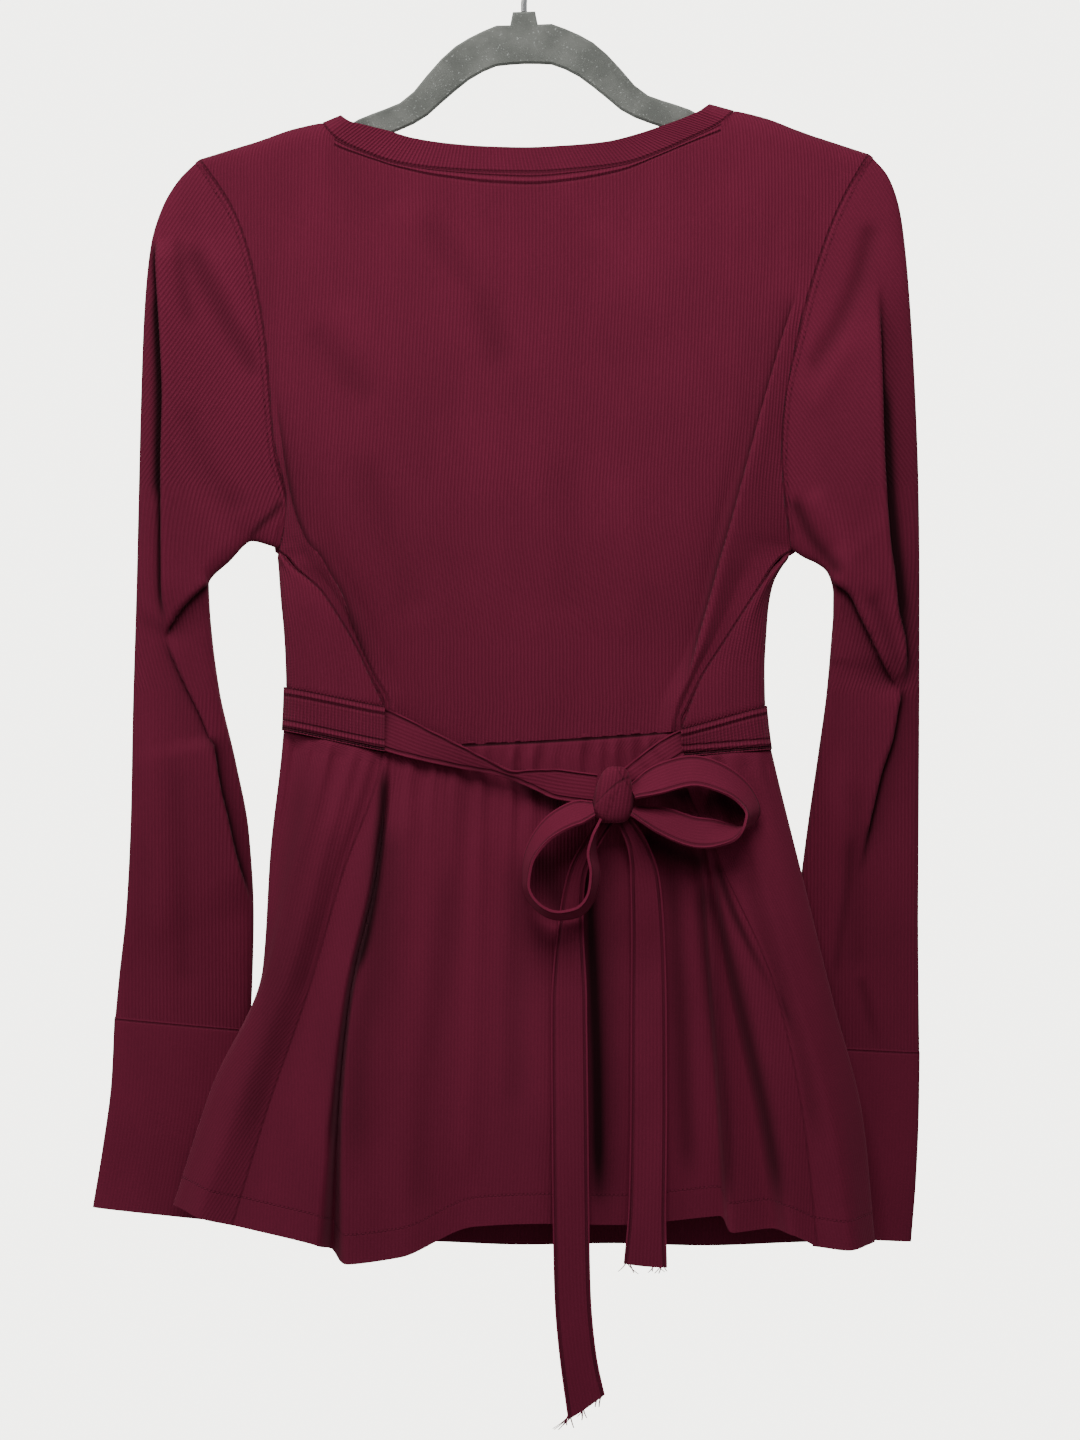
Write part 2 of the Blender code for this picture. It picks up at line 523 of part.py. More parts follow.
def back_grid():
    """Back panel: flat between two folds that stand along its side seams."""
    counts = (2, 2, 2, 2, 1, 1, 1, 4, 4, 1, 1, 1, 2, 2, 2, 2)
    rows = panel_rows() + [(row[0], row[-1]) for row in WRAPPED_ROWS[:-1]] + list(BACK_LAST_ROWS)
    grid, tops = [], None
    for number, (z_left, z_right) in enumerate(rows):
        share = number / (len(rows) - 1)
        main = flat_depth((z_left + z_right) / 2)[0]
        x0, y0 = panel_edge(-1, z_left, -1)
        x9, y9 = panel_edge(1, z_right, -1)
        x2, y2 = through(column(BACK_CREST_LEFT, 0), [r[1:] for r in BACK_CREST_LEFT], [z_left])[0]
        x8, y8 = through(column(BACK_CREST_RIGHT, 0), [r[1:] for r in BACK_CREST_RIGHT], [z_right])[0]
        under_arm = min(max((-380.0 - z_left) / 30.0, 0.0), 1.0)
        hollow = [min(2.6, 0.22 * abs(a - b)) * under_arm for a, b in ((x0, x2), (x8, x9))]
        foot = 9.0
        inner = neck_stations(x2 + foot, x8 - foot, share, (0.0, 5.0, 12.0, 26.0))
        xs = [x0, (x0 + x2) / 2, x2, x2 + foot] + inner + [x8 - foot, x8, (x8 + x9) / 2, x9]
        ys = [y0, (y0 + y2) / 2 + hollow[0], y2, main] + [main] * 4 + [main - 0.6] + [main] * 4
        ys += [main, y8, (y8 + y9) / 2 + hollow[1], y9]
        zs = [z_left + (z_right - z_left) * (x - x0) / (x9 - x0) for x in xs]
        line = spread(np.array([xs, ys, zs]).T, counts)
        tops = tops or top_points(line, BACK_TOP)
        grid.append(dropped(line, tops, 1.0 - share ** 0.8))
    return np.array(grid)


def round_level(levels, x, on_back):
    """z at x along a level line that runs from seam to seam round the front."""
    left_end, left_side, middle, right_side, right_end = levels
    side_left, side_right = through(
        column(BODY_SIDES, 0), [row[1:] for row in BODY_SIDES], [middle])[0]
    if on_back and x < 0:
        return float(np.interp(x, (side_left, BAND_ENDS[0]), (left_side, left_end)))
    if on_back:
        return float(np.interp(x, (BAND_ENDS[1], side_right), (right_end, right_side)))
    return float(np.interp(x, (side_left, 0.0, side_right), (left_side, middle, right_side)))


def wrapped_side(edge, side_x, main):
    """x, y of the stations from a seam on the back round one side to the front."""
    x, y = edge
    wide = x - side_x
    inward = math.copysign(1.0, wide)
    near = side_x + inward * min(4.5, 0.3 * abs(wide))
    return [(x, y), (side_x + 0.62 * wide, y - 0.6), (near, y + 2.6),
            (side_x, (y + main) / 2), (side_x + 5.0 * inward, main - 2.0),
            (side_x + 16.0 * inward, main)]


def front_grid():
    """Front panel: scooped neck, its lower sides drawn round onto the back."""
    counts = (1, 1, 2, 2, 1, 2, 1, 1, 1, 1, 2, 3, 3, 2, 1, 1, 1, 1, 2, 1, 2, 2, 1, 1)
    offsets = (0.0, 4.0, 13.0, 27.0, 47.0, 75.0)
    flat_steps = np.array(((0.0, 0.0), (5.0, 0.25), (9.0, 0.45), (14.0, 0.7), (20.0, 1.0), (27.0, 1.0)))
    turning_steps = np.array(((0.0, 0.0), (0.0, 0.06), (0.1, 0.14), (0.5, 0.3), (5.0, 0.76), (16.0, 1.0)))
    grid, tops = [], None
    armhole_rows = panel_rows()
    for number, (z_left, z_right) in enumerate(armhole_rows):
        share = number / (len(armhole_rows) - 1)
        main = flat_depth((z_left + z_right) / 2)[1]
        x0, y0 = panel_edge(-1, z_left, 1)
        x9, y9 = panel_edge(1, z_right, 1)
        steps = flat_steps + (turning_steps - flat_steps) * share ** 4
        left = [(x0 + step, y0 + (main - y0) * deep) for step, deep in steps]
        right = [(x9 - step, y9 + (main - y9) * deep) for step, deep in steps]
        inner = neck_stations(left[-1][0], right[-1][0], share ** 2, offsets)
        flat = [(x, main) for x in inner]
        stations = [(x, y, z_left + (z_right - z_left) * (x - x0) / (x9 - x0))
                    for x, y in left + flat + right[::-1]]
        line = spread(np.array(stations), counts)
        tops = tops or top_points(line, FRONT_TOP)
        fade = 1.0 - (tops[0][2] - z_left) / 225.0
        grid.append(dropped(line, tops, max(fade, 0.0)))
    for levels in WRAPPED_ROWS:
        sides = through(column(BODY_SIDES, 0), [row[1:] for row in BODY_SIDES],
                        [levels[1], levels[3]])
        main = flat_depth(levels[2])[1]
        left = wrapped_side(panel_edge(-1, levels[0], 1), sides[0][0], main)
        right = wrapped_side(panel_edge(1, levels[4], 1), sides[1][1], main)
        inner = neck_stations(left[-1][0], right[-1][0], 1.0, offsets)
        heights_left = [float(np.interp(x, sorted((sides[0][0], left[0][0])), (levels[1], levels[0])))
                        for x, _ in left[:4]]
        heights_right = [float(np.interp(x, sorted((right[0][0], sides[1][1])), (levels[4], levels[3])))
                         for x, _ in right[:4]]
        front_x = [x for x, _ in left[4:]] + inner + [x for x, _ in right[:3:-1]]
        heights_front = [float(np.interp(x, (sides[0][0], 0.0, sides[1][1]), levels[1:4]))
                         for x in front_x]
        xy = left + [(x, main) for x in inner] + right[::-1]
        heights = heights_left + heights_front + heights_right[::-1]
        grid.append(spread(np.array([(x, y, z) for (x, y), z in zip(xy, heights)]), counts))
    return np.array(grid)


def waistband(look):
    """Front band whose ends are drawn round onto the back, where the ties start."""
    counts = (4, 2, 2, 3, 6, 6, 3, 2, 2, 4)
    front = 8.6
    grid = []
    for share in (0.0, 0.5, 1.0):
        levels = [a + (b - a) * share for a, b in zip(BAND_TOP, BAND_BOTTOM)]
        left, right = through(
            column(BODY_SIDES, 0), [row[1:] for row in BODY_SIDES], [levels[2]])[0]
        places = [
            (BAND_ENDS[0], BAND_END_DEPTH), (left + 7.0, BAND_END_DEPTH + 2.5), (left - 1.0, -2.4),
            (left + 6.0, front - 1.4), (left + 30.0, front), (0.0, front + 0.4),
            (right - 30.0, front), (right - 6.0, front - 1.4), (right + 1.0, -2.4),
            (right - 7.0, BAND_END_DEPTH + 2.5), (BAND_ENDS[1], BAND_END_DEPTH)]
        stations = [(x, y, round_level(levels, x, index < 2 or index > 8))
                    for index, (x, y) in enumerate(places)]
        grid.append(spread(np.array(stations), counts))
    return wall("waistband", np.array(grid), BAND, look)


def skirt_seam(number, height):
    """x and y of a skirt side seam at a height."""
    seam = SKIRT_SEAM_LEFT if number == 0 else SKIRT_SEAM_RIGHT
    return through(column(seam, 0), [row[1:] for row in seam], [height])[0]


def skirt(name, table, outward, look):
    """Skirt panel from its table of folds, with gathers that fade below the waist."""
    counts = [row[5] for row in table][:-1]
    grid = []
    for share in SKIRT_ROWS:
        stations = []
        for number, (_, xs, ys, top_z, hem_z, _) in enumerate(table):
            on_right = number > len(table) / 2
            if top_z is None and xs is not None:
                x, y = through(SKIRT_LEVELS, list(zip(xs, ys)), [0.0])[0]
                top_z = round_level(BAND_BOTTOM, x, y < -5.0) - 2 * SEAM
            elif top_z is None:
                top_z = BAND_BOTTOM[4 if on_right else 0] - 2 * SEAM
            z = top_z + (hem_z - top_z) * share
            if xs is None:
                seam_top = SKIRT_SEAM_RIGHT[0][0] if on_right else SKIRT_SEAM_LEFT[0][0]
                z = min(seam_top + (hem_z - seam_top) * share, top_z - 60.0 * share)
                x, y = skirt_seam(number, z)
                x += outward * (SEAM if on_right else -SEAM)
            else:
                x, y = through(SKIRT_LEVELS, list(zip(xs, ys)), [share])[0]
            stations.append((x, y, z))
        line = spread(np.array(stations), counts)
        fade = math.exp(-share / GATHER_FADE) * min(0.3 + share / 0.03, 1.0)
        for index in range(1, len(line) - 1):
            room = abs(line[index + 1][0] - line[index - 1][0]) / 2
            room = min(max((room - 2.0) / 1.5, 0.0), 1.0)
            uneven = 0.72 + 0.28 * math.sin(index * 1.7)
            line[index][1] += GATHER_DEPTH * fade * room * uneven * math.sin(index * math.pi / 2)
        grid.append(line)
    return wall(name, np.array(grid), CLOTH, look)


def crease(x, z, creases):
    """Height that the creases give a point of the cloth."""
    height = 0.0
    for rise, width, path in creases:
        nearest, where = 1e9, 0.0
        for index in range(len(path) - 1):
            (ax, az), (bx, bz) = path[index], path[index + 1]
            length = (bx - ax) ** 2 + (bz - az) ** 2
            t = min(max(((x - ax) * (bx - ax) + (z - az) * (bz - az)) / length, 0.0), 1.0)
            away = math.hypot(x - ax - t * (bx - ax), z - az - t * (bz - az))
            if away < nearest:
                nearest, where = away, (index + t) / (len(path) - 1)
        ends = min(where, 1.0 - where, 0.15) / 0.15
        height += rise * math.exp(-(nearest / width) ** 2) * (0.3 + 0.7 * ends)
    return height


def tube(name, table, columns, rows, thickness, look, side=0, creases=()):
    """Flattened tube through rings, each set by its outer and inner points."""
    places = np.linspace(0, len(table) - 1, rows)
    rings = through(range(len(table)), [row for row in table], places)
    grid = []
    for number, (ox, oz, ix, iz, middle, depth) in enumerate(rings):
        bow = max(0.0, 1.0 - places[number] / 4.0) ** 1.5 if side else 0.0
        ring = []
        for step in range(columns):
            angle = 2 * math.pi * step / columns
            flat = squared_cosine(angle)
            swell = math.copysign(abs(math.sin(angle)) ** 0.55, math.sin(angle))
            x = (ox + ix) / 2 + (ox - ix) / 2 * flat
            z = (oz + iz) / 2 + (oz - iz) / 2 * flat
            y = middle - depth * swell
            if side:
                tip, low = armhole_table(side)[0], armhole_table(side)[-1]
                z_seam = tip[1] + (low[1] - tip[1]) * (1.0 - flat) / 2
                x_seam, flat_seam = armhole_points(side, [z_seam])[0]
                chord = tip[0] * (1 + flat) / 2 + low[0] * (1 - flat) / 2
                x += (x_seam - chord) * bow
                if number == 0:
                    x, z = x_seam + side * SEAM, z_seam
                    depth_here = rolled(0.0, flat_seam, tip[1] - z_seam)
                    y = -depth_here * math.copysign(1.0, swell) if abs(swell) > 0.01 else 0.0
            if creases and 0 < number < rows - 1:
                toward = 1.0 if swell > 0 else -0.5
                near = min(number, rows - 1 - number, 2) / 2
                y -= crease(x, z, creases) * toward * near * abs(swell) ** 3
            ring.append((x, y, z))
        grid.append(ring)
    return wall(name, np.array(grid), thickness, look, ring=True)


def neckband(back_row, front_row, look):
    """Ribbed band whose seam follows the top rows of the two body panels."""
    seam, edge = [], []
    inside = [p for p in back_row if NECK_LEFT - 0.01 < p[0] < NECK_RIGHT - 0.01]
    round_front = [p for p in front_row[::-1] if NECK_LEFT + 0.01 < p[0] < NECK_RIGHT + 0.01]
    for points, table in ((inside, NECKBAND_BACK), (round_front, NECKBAND_FRONT)):
        for x, y, z in points:
            edge_x, edge_z = through(column(table, 0), [row[1:] for row in table], [x])[0]
            toward = np.array([edge_x - x, edge_z - z])
            toward = toward / np.linalg.norm(toward)
            flat = flat_depth(z)[0 if table is NECKBAND_BACK else 1]
            y = rolled(0.0, flat, neck_distance(x, z))
            seam.append((x + toward[0] * 2 * SEAM, y, z + toward[1] * 2 * SEAM))
            edge.append((edge_x, y, edge_z))
    seam, edge = np.array(seam), np.array(edge)
    return wall("neckband", np.array([seam, (seam + edge) / 2, edge]), BAND, look, ring=True)


def ribbon(name, path, across, widths, look, per_step=2):
    """Flat ribbon swept along a path, its width along the given directions."""
    count = (len(path) - 1) * per_step + 1
    places = np.linspace(0, len(path) - 1, count)
    lines = through(range(len(path)), path, places)
    across = through(range(len(path)), across, places)
    widths = through(range(len(path)), widths, places)
    points, faces = [], []
    for index, (place, wide, width) in enumerate(zip(lines, across, widths)):
        ahead = lines[min(index + 1, count - 1)] - lines[max(index - 1, 0)]
        ahead = ahead / np.linalg.norm(ahead)
        wide = wide - ahead * np.dot(wide, ahead)
        wide = wide / np.linalg.norm(wide)
        face = np.cross(ahead, wide)
        for a, b in ((-1, -1), (1, -1), (1, 1), (-1, 1)):
            points.append(place + wide * a * width / 2 + face * b * TIE / 2)
    for index in range(count - 1):
        for corner in range(4):
            a, b = index * 4 + corner, index * 4 + (corner + 1) % 4
            faces.append((a, b, b + 4, a + 4))
    faces.append((0, 1, 2, 3))
    faces.append(tuple(count * 4 - 4 + corner for corner in range(4)))
    return solid(name, points, faces, look)


def flat_ribbon(name, table, look):
    """Ribbon that faces the viewer but for the turn in its table."""
    path = [row[:3] for row in table]
    across = []
    for index, row in enumerate(table):
        before, after = table[max(index - 1, 0)], table[min(index + 1, len(table) - 1)]
        dx, dz = after[0] - before[0], after[2] - before[2]
        length = math.hypot(dx, dz)
        turn = math.radians(row[4])
        across.append((-dz / length * math.cos(turn), -math.sin(turn), dx / length * math.cos(turn)))
    return ribbon(name, path, across, column(table, 3), look)


def bow_loop(name, path, direction, look):
    """Loop of ribbon that stands out from the skirt."""
    across = [direction] * len(path)
    widths = [LOOP_WIDTH * (0.62 if index in (0, len(path) - 1) else 1.0)
              for index in range(len(path))]
    return ribbon(name, path, across, widths, look)


def bow_knot(look):
    """Rounded knot with the turns of the ribbon round its middle."""
    rows, columns = 8, 12
    points = [(KNOT_CENTRE[0], KNOT_CENTRE[1], KNOT_CENTRE[2] + KNOT_HALF[2])]
    for row in range(1, rows):
        polar = math.pi * row / rows
        for step in range(columns):
            angle = 2 * math.pi * step / columns
            pinch = 1.0 - 0.05 * math.cos(3 * angle)
            points.append((
                KNOT_CENTRE[0] + KNOT_HALF[0] * math.sin(polar) ** 0.8 * math.cos(angle) * pinch,
                KNOT_CENTRE[1] + KNOT_HALF[1] * math.sin(polar) ** 0.8 * math.sin(angle) * pinch,
                KNOT_CENTRE[2] + KNOT_HALF[2] * math.cos(polar)))
    points.append((KNOT_CENTRE[0], KNOT_CENTRE[1], KNOT_CENTRE[2] - KNOT_HALF[2]))
    faces = []
    for step in range(columns):
        after = (step + 1) % columns
        faces.append((0, 1 + step, 1 + after))
        for row in range(rows - 2):
            a, b = 1 + row * columns + step, 1 + row * columns + after
            faces.append((a, a + columns, b + columns, b))
        base = 1 + (rows - 2) * columns
        faces.append((base + step, len(points) - 1, base + after))
    return solid("bow_knot", points, faces, look)


def hanger_body(look):
    """Slim hanger: a hump, a collar for the hook and two sloping arms."""
    outline = []
    reach = np.concatenate([np.linspace(0, 112, 15), np.linspace(128, 188, 4), [194, 198, 199]])
    edges = through(column(HANGER, 0), [row[1:] for row in HANGER], reach)
    upper = [(x, top) for x, (top, _) in zip(reach, edges)]
    lower = [(x, low) for x, (_, low) in zip(reach, edges)]
    half = COLLAR[0]
    collar = [(-half, COLLAR[2] - 0.6), (-half + 1.5, COLLAR[1]), (half - 1.5, COLLAR[1]),
              (half, COLLAR[2] - 0.6)]
    outline += [(-x, z) for x, z in reversed(upper) if x > half + 2]
    outline += collar
    outline += [(x, z) for x, z in upper if x > half + 2]
    outline += [(x, z) for x, z in reversed(lower)]
    outline += [(-x, z) for x, z in lower[1:]]
    mesh = bpy.data.meshes.new("hanger_body")
    shape = bmesh.new()
    corners = [shape.verts.new((x * MM, -HANGER_THICK / 2 * MM, (z + HANGER_TILT * x) * MM))
               for x, z in outline]
    face = shape.faces.new(corners)
    made = bmesh.ops.extrude_face_region(shape, geom=[face])
    moved = [item for item in made["geom"] if isinstance(item, bmesh.types.BMVert)]
    bmesh.ops.translate(shape, verts=moved, vec=(0, HANGER_THICK * MM, 0))
    bmesh.ops.recalc_face_normals(shape, faces=shape.faces)
    rims = [edge for edge in shape.edges if len(edge.link_faces) == 2
            and abs(edge.verts[0].co.y - edge.verts[1].co.y) < 1e-6]
    bmesh.ops.bevel(shape, geom=rims, offset=1.2 * MM, segments=1, profile=0.5,
                    affect="EDGES", clamp_overlap=True)
    bmesh.ops.triangulate(shape, faces=shape.faces)
    shape.to_mesh(mesh)
    shape.free()
    thing = bpy.data.objects.new("hanger_body", mesh)
    bpy.context.scene.collection.objects.link(thing)
    mesh.materials.append(look)
    return thing


def hanger_hook(look):
    """Wire hook: a stem, a bend and an arc over the rod."""
    radius = HOOK_INNER + WIRE / 2
    centre_z = -HOOK_INNER
    route = [(0.0, COLLAR[1] + 0.3), (0.0, -70.0), (0.6, -64.0), (3.2, -57.0), (8.4, -51.0)]
    start, end = math.radians(-52), math.radians(205)
    steps = 18
    for step in range(steps + 1):
        angle = start + (end - start) * step / steps
        route.append((radius * math.cos(angle), centre_z + radius * math.sin(angle)))
    sides = 8
    points, faces = [], []
    for index, (x, z) in enumerate(route):
        before, after = route[max(index - 1, 0)], route[min(index + 1, len(route) - 1)]
        dx, dz = after[0] - before[0], after[1] - before[1]
        length = math.hypot(dx, dz)
        for step in range(sides):
            angle = 2 * math.pi * step / sides
            out, deep = math.cos(angle) * WIRE / 2, math.sin(angle) * WIRE / 2
            points.append((x - dz / length * out, deep, z + dx / length * out))
    for index in range(len(route) - 1):
        for step in range(sides):
            a, b = index * sides + step, index * sides + (step + 1) % sides
            faces.append((a, b, b + sides, a + sides))
    faces.append(tuple(range(sides)))
    faces.append(tuple((len(route) - 1) * sides + step for step in range(sides)))
    return solid("hanger_hook", points, faces, look)


def main():
    """Remove what the scene holds and build the garment on its hanger."""
    for thing in list(bpy.data.objects):
        bpy.data.objects.remove(thing, do_unlink=True)
    knit = material("rib_knit_burgundy", BURGUNDY, 0.85)
    velvet = material("hanger_velvet", VELVET, 0.9)
    steel = material("hook_steel", STEEL, 0.3, 1.0)
    back, front = back_grid(), front_grid()
    wall("back_bodice", back, CLOTH, knit)
    wall("front_bodice", front, CLOTH, knit)
    neckband(back[0], front[0], knit)
    waistband(knit)
    skirt("back_skirt", BACK_SKIRT, -1, knit)
    skirt("front_skirt", FRONT_SKIRT, 1, knit)
    tube("sleeve_left", LEFT_SLEEVE, SLEEVE_COLUMNS, SLEEVE_ROWS, CLOTH, knit, -1, LEFT_SLEEVE_CREASES)
    tube("sleeve_right", RIGHT_SLEEVE, SLEEVE_COLUMNS, SLEEVE_ROWS, CLOTH, knit, 1, RIGHT_SLEEVE_CREASES)
    tube("cuff_left", LEFT_CUFF, SLEEVE_COLUMNS, 4, BAND, knit)
    tube("cuff_right", RIGHT_CUFF, SLEEVE_COLUMNS, 4, BAND, knit)
    flat_ribbon("tie_strap_left", STRAP_LEFT, knit)
    flat_ribbon("tie_strap_right", STRAP_RIGHT, knit)
    bow_loop("bow_loop_right", LOOP_RIGHT, LOOP_RIGHT_ACROSS, knit)
    bow_loop("bow_loop_left", LOOP_LEFT, LOOP_LEFT_ACROSS, knit)
    flat_ribbon("tie_tail_long", TAIL_LONG, knit)
    flat_ribbon("tie_tail_short", TAIL_SHORT, knit)
    bow_knot(knit)
    hanger_body(velvet)
    hanger_hook(steel)


main()
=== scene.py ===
"""Looks of the long-sleeved rib-knit babydoll top on its hanger.

The tables repeat the solids' sizes, in millimetres: +Z up, the side shown
faces -Y, +X to the right of somebody who looks at it.
"""
import math
import random

import bmesh
import bpy
import numpy as np
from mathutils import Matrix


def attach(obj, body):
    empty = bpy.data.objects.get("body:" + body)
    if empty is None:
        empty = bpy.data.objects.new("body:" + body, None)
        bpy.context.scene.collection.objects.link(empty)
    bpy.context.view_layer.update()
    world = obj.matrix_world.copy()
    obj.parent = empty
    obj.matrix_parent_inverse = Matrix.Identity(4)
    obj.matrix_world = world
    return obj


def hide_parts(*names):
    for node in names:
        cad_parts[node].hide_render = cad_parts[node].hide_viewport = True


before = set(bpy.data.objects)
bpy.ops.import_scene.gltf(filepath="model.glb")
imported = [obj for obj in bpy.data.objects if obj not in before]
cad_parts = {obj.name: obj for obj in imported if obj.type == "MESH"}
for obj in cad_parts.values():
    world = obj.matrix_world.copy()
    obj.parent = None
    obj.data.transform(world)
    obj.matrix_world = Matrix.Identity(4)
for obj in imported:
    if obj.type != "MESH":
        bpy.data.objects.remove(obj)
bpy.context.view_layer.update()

# Driving dimensions
MM = 0.001
CLOTH = 1.2               # one layer of rib knit, with the room it takes
KNIT = 1.0                # what shows of it
BAND = 1.6                # two layers: neckband, waistband and cuffs
TIE = 1.5                 # the turned tube of the ties, pressed flat
SEAM = 0.3                # half the gap between two sewn pieces' edges
UNDERARM_EASE = 1.3       # extra gap where the side seam turns under the arm
UNDERARM_REACH = 6.0
SHOULDER_ROLL = 6.0       # height over which a panel rolls into the shoulder seam
SLEEVE_COLUMNS = 16       # points round a sleeve's first ring
LOOP_WIDTH = 20.0         # width of the bow's loops
LOOP_ENDS = 0.62          # share of that width that they have at the knot
RIB = 2.05                # pitch of the ribs
STITCH = 1.7              # height of one row of knit stitches
HEM = 17.0                # depth of the turned hems
TUCK = 3.0                # width of a seam's cloth that goes on under its neighbour
THREAD = 1.0              # thickness of a loose thread
LAP_OVER = 1.8            # reach of a lap over what lies under it
LAP_SOFT = 1.2            # how far the step of a lap's edge spreads
FADE_IN = 0.15            # share of a fold's path over which it starts and ends
BORDER_LINES = 8          # grid lines over which folds fade towards a piece's edges
ON_BACK = -8.0            # y of the cloth that is drawn round onto the back
TIE_STEPS, TIE_COLUMNS = 12, 15     # grid lines along a table's step and across a tie
STITCH_LENGTH = 2.5       # length of one sewing stitch
SHARP_TURN = math.radians(60)
CREST_FOOT = 9.0          # distance from the back's side folds to its flat part
SIDE_HOLLOW = 2.6         # deepest hollow beside those folds
# Points across and down of the finer pieces, or how much finer than their tables
BODY_FINER, FRONT_FINER, BAND_FINER, NECK_FINER, SKIRT_FINER = (8, 5), (7, 4), (10, 10), (8, 8), 5
SLEEVE_POINTS, CUFF_POINTS, KNOT_POINTS = (152, 190), (128, 40), (72, 56)
# Ribs of the sleeves: slanting above the elbow, upright below
SLANT, SLANT_START, SLANT_REACH = 34.0, -470.0, 120.0
# Gathers under the waist: height, pace, how far and how fast they wander, shift, fade
GATHERS = ((1.2, 0.56, 1.5, 0.093, 0, 0.11), (0.6, 0.83, 1.9, 0.15, 1, 0.06),
           (0.8, 0.33, 2.0, 0.06, 2, 0.30))

# Armhole from the shoulder tip to the underarm: x, z, depth each side of y = 0
# where the cloth lies flat
ARMHOLE_LEFT = (
    (-188, -161, 4.8), (-178, -175, 5.2), (-165, -198, 5.6), (-156, -230, 6.5), (-150, -265, 7),
    (-147, -300, 7), (-144, -332, 7), (-137, -364, 6), (-142, -386, 1.6),
)
ARMHOLE_RIGHT = (
    (200, -158, 4.8), (190, -174, 5.2), (179, -197, 5.6), (168, -229, 6.5), (159, -264, 7), (151, -300, 7),
    (149, -335, 7), (152, -364, 6), (155, -386, 1.6),
)
# Side seam, drawn round onto the back, from the underarm to the waist: x, z, y
SIDE_SEAM_LEFT = (
    (-142, -386, -1.6), (-132, -398, -7.6), (-118, -410, -10.8), (-107, -426, -12), (-97, -443, -12),
    (-89, -460, -12), (-81, -477, -12), (-81, -490, -11.6), (-81.5, -503.5, -11),
)
SIDE_SEAM_RIGHT = (
    (155, -386, -1.6), (144.5, -397, -7.6), (135.5, -410, -10.8), (125, -426, -12), (114, -443, -12),
    (102.5, -461, -12), (94, -479, -12), (91, -487, -11.6), (91, -492.5, -11),
)
# Top edge of the back panel, shoulder tip to shoulder tip: x, z
BACK_TOP = (
    (-188, -161), (-152, -150), (-117, -140), (-112, -146.5), (-100, -154), (-60, -166), (0, -169),
    (56, -164), (99, -147.5), (116, -138.5), (122, -133), (160, -145), (200, -158),
)
# Top edge of the front panel, with its scooped neck: x, z
FRONT_TOP = (
    (-188, -161), (-152, -150), (-117, -140), (-113, -147.5), (-104, -162), (-90, -184), (-70, -208),
    (-42, -228), (2, -237), (46, -228), (74, -207), (94, -182), (108.5, -158), (117.5, -141.5),
    (122, -133), (160, -145), (200, -158),
)
NECK_LEFT, NECK_RIGHT = -117.0, 122.0
# Fold that stands along each side seam of the back: z, x of its crest, y there
BACK_CREST_LEFT = (
    (-161, -162, -5), (-230, -144, -6.6), (-300, -140, -8.6), (-364, -130, -13), (-398, -115, -16),
    (-426, -100, -16), (-460, -84, -14), (-477, -75.5, -12.8), (-504, -73, -11.6),
)
BACK_CREST_RIGHT = (
    (-158, 170, -5), (-229, 152, -6.6), (-300, 142, -8.6), (-335, 134, -12), (-364, 125, -14),
    (-410, 113, -16), (-442, 104, -15), (-461, 95.5, -14), (-479, 87.5, -13), (-493, 84, -12),
)
# Depth of the flat part of each panel: z, back, front
PANEL_DEPTH = (
    (-130, -5, 5), (-200, -5.6, 5.8), (-280, -8, 7.4), (-380, -10.4, 8.4), (-450, -8.8, 8.4),
    (-505, -9.4, 8.2),
)
# Outline of the body under the arms: z, left x, right x
BODY_SIDES = (
    (-386, -143, 156), (-391.5, -142.6, 153), (-398, -142, 148.5), (-412, -141, 142.5),
    (-440, -138.5, 140), (-466, -137.5, 139), (-505, -139, 143),
)
# Rows of both body panels under the arms: z at left seam, left side, middle,
# right side, right seam
WRAPPED_ROWS = (
    (-391.5, -391.2, -388.5, -391.2, -391.5), (-398, -396.4, -393, -396.4, -397.4),
    (-410, -405.5, -404, -406, -410), (-426, -417.5, -417.5, -420, -426), (-443, -432, -434, -437, -443),
    (-460, -448, -452, -456, -461), (-476.8, -465.6, -471.6, -476.6, -489.6),
)
# Rows of the back panel beside the band's ends: z at left, at right
BACK_LAST_ROWS = (
    (-477, -477), (-490, -485.5), (-503.2, -492.2),
)
# Waistband edges: z at left end, left side, middle, right side, right end
BAND_TOP = (-477.6, -466.4, -472.4, -477.4, -490.4)
BAND_BOTTOM = (-503.6, -491.6, -498, -502.6, -506.6)
BAND_ENDS = (-82, 92.4)
BAND_END_DEPTH = -13.2

# Skirt side seams, drawn round onto the back: z, x, y
SKIRT_SEAM_LEFT = (
    (-504.2, -81.5, -11), (-520, -84.5, -13), (-573, -104, -15), (-641, -124, -16), (-709, -147.5, -17),
    (-777, -168, -18),
)
SKIRT_SEAM_RIGHT = (
    (-493.2, 91, -11), (-512, 92, -13), (-567, 113, -18), (-641, 145, -20), (-715, 161, -21),
    (-789, 169, -22),
)
# Shares of the skirt's length at which the tables below give each fold
SKIRT_LEVELS = (0, 0.06, 0.25, 0.5, 0.75, 1)
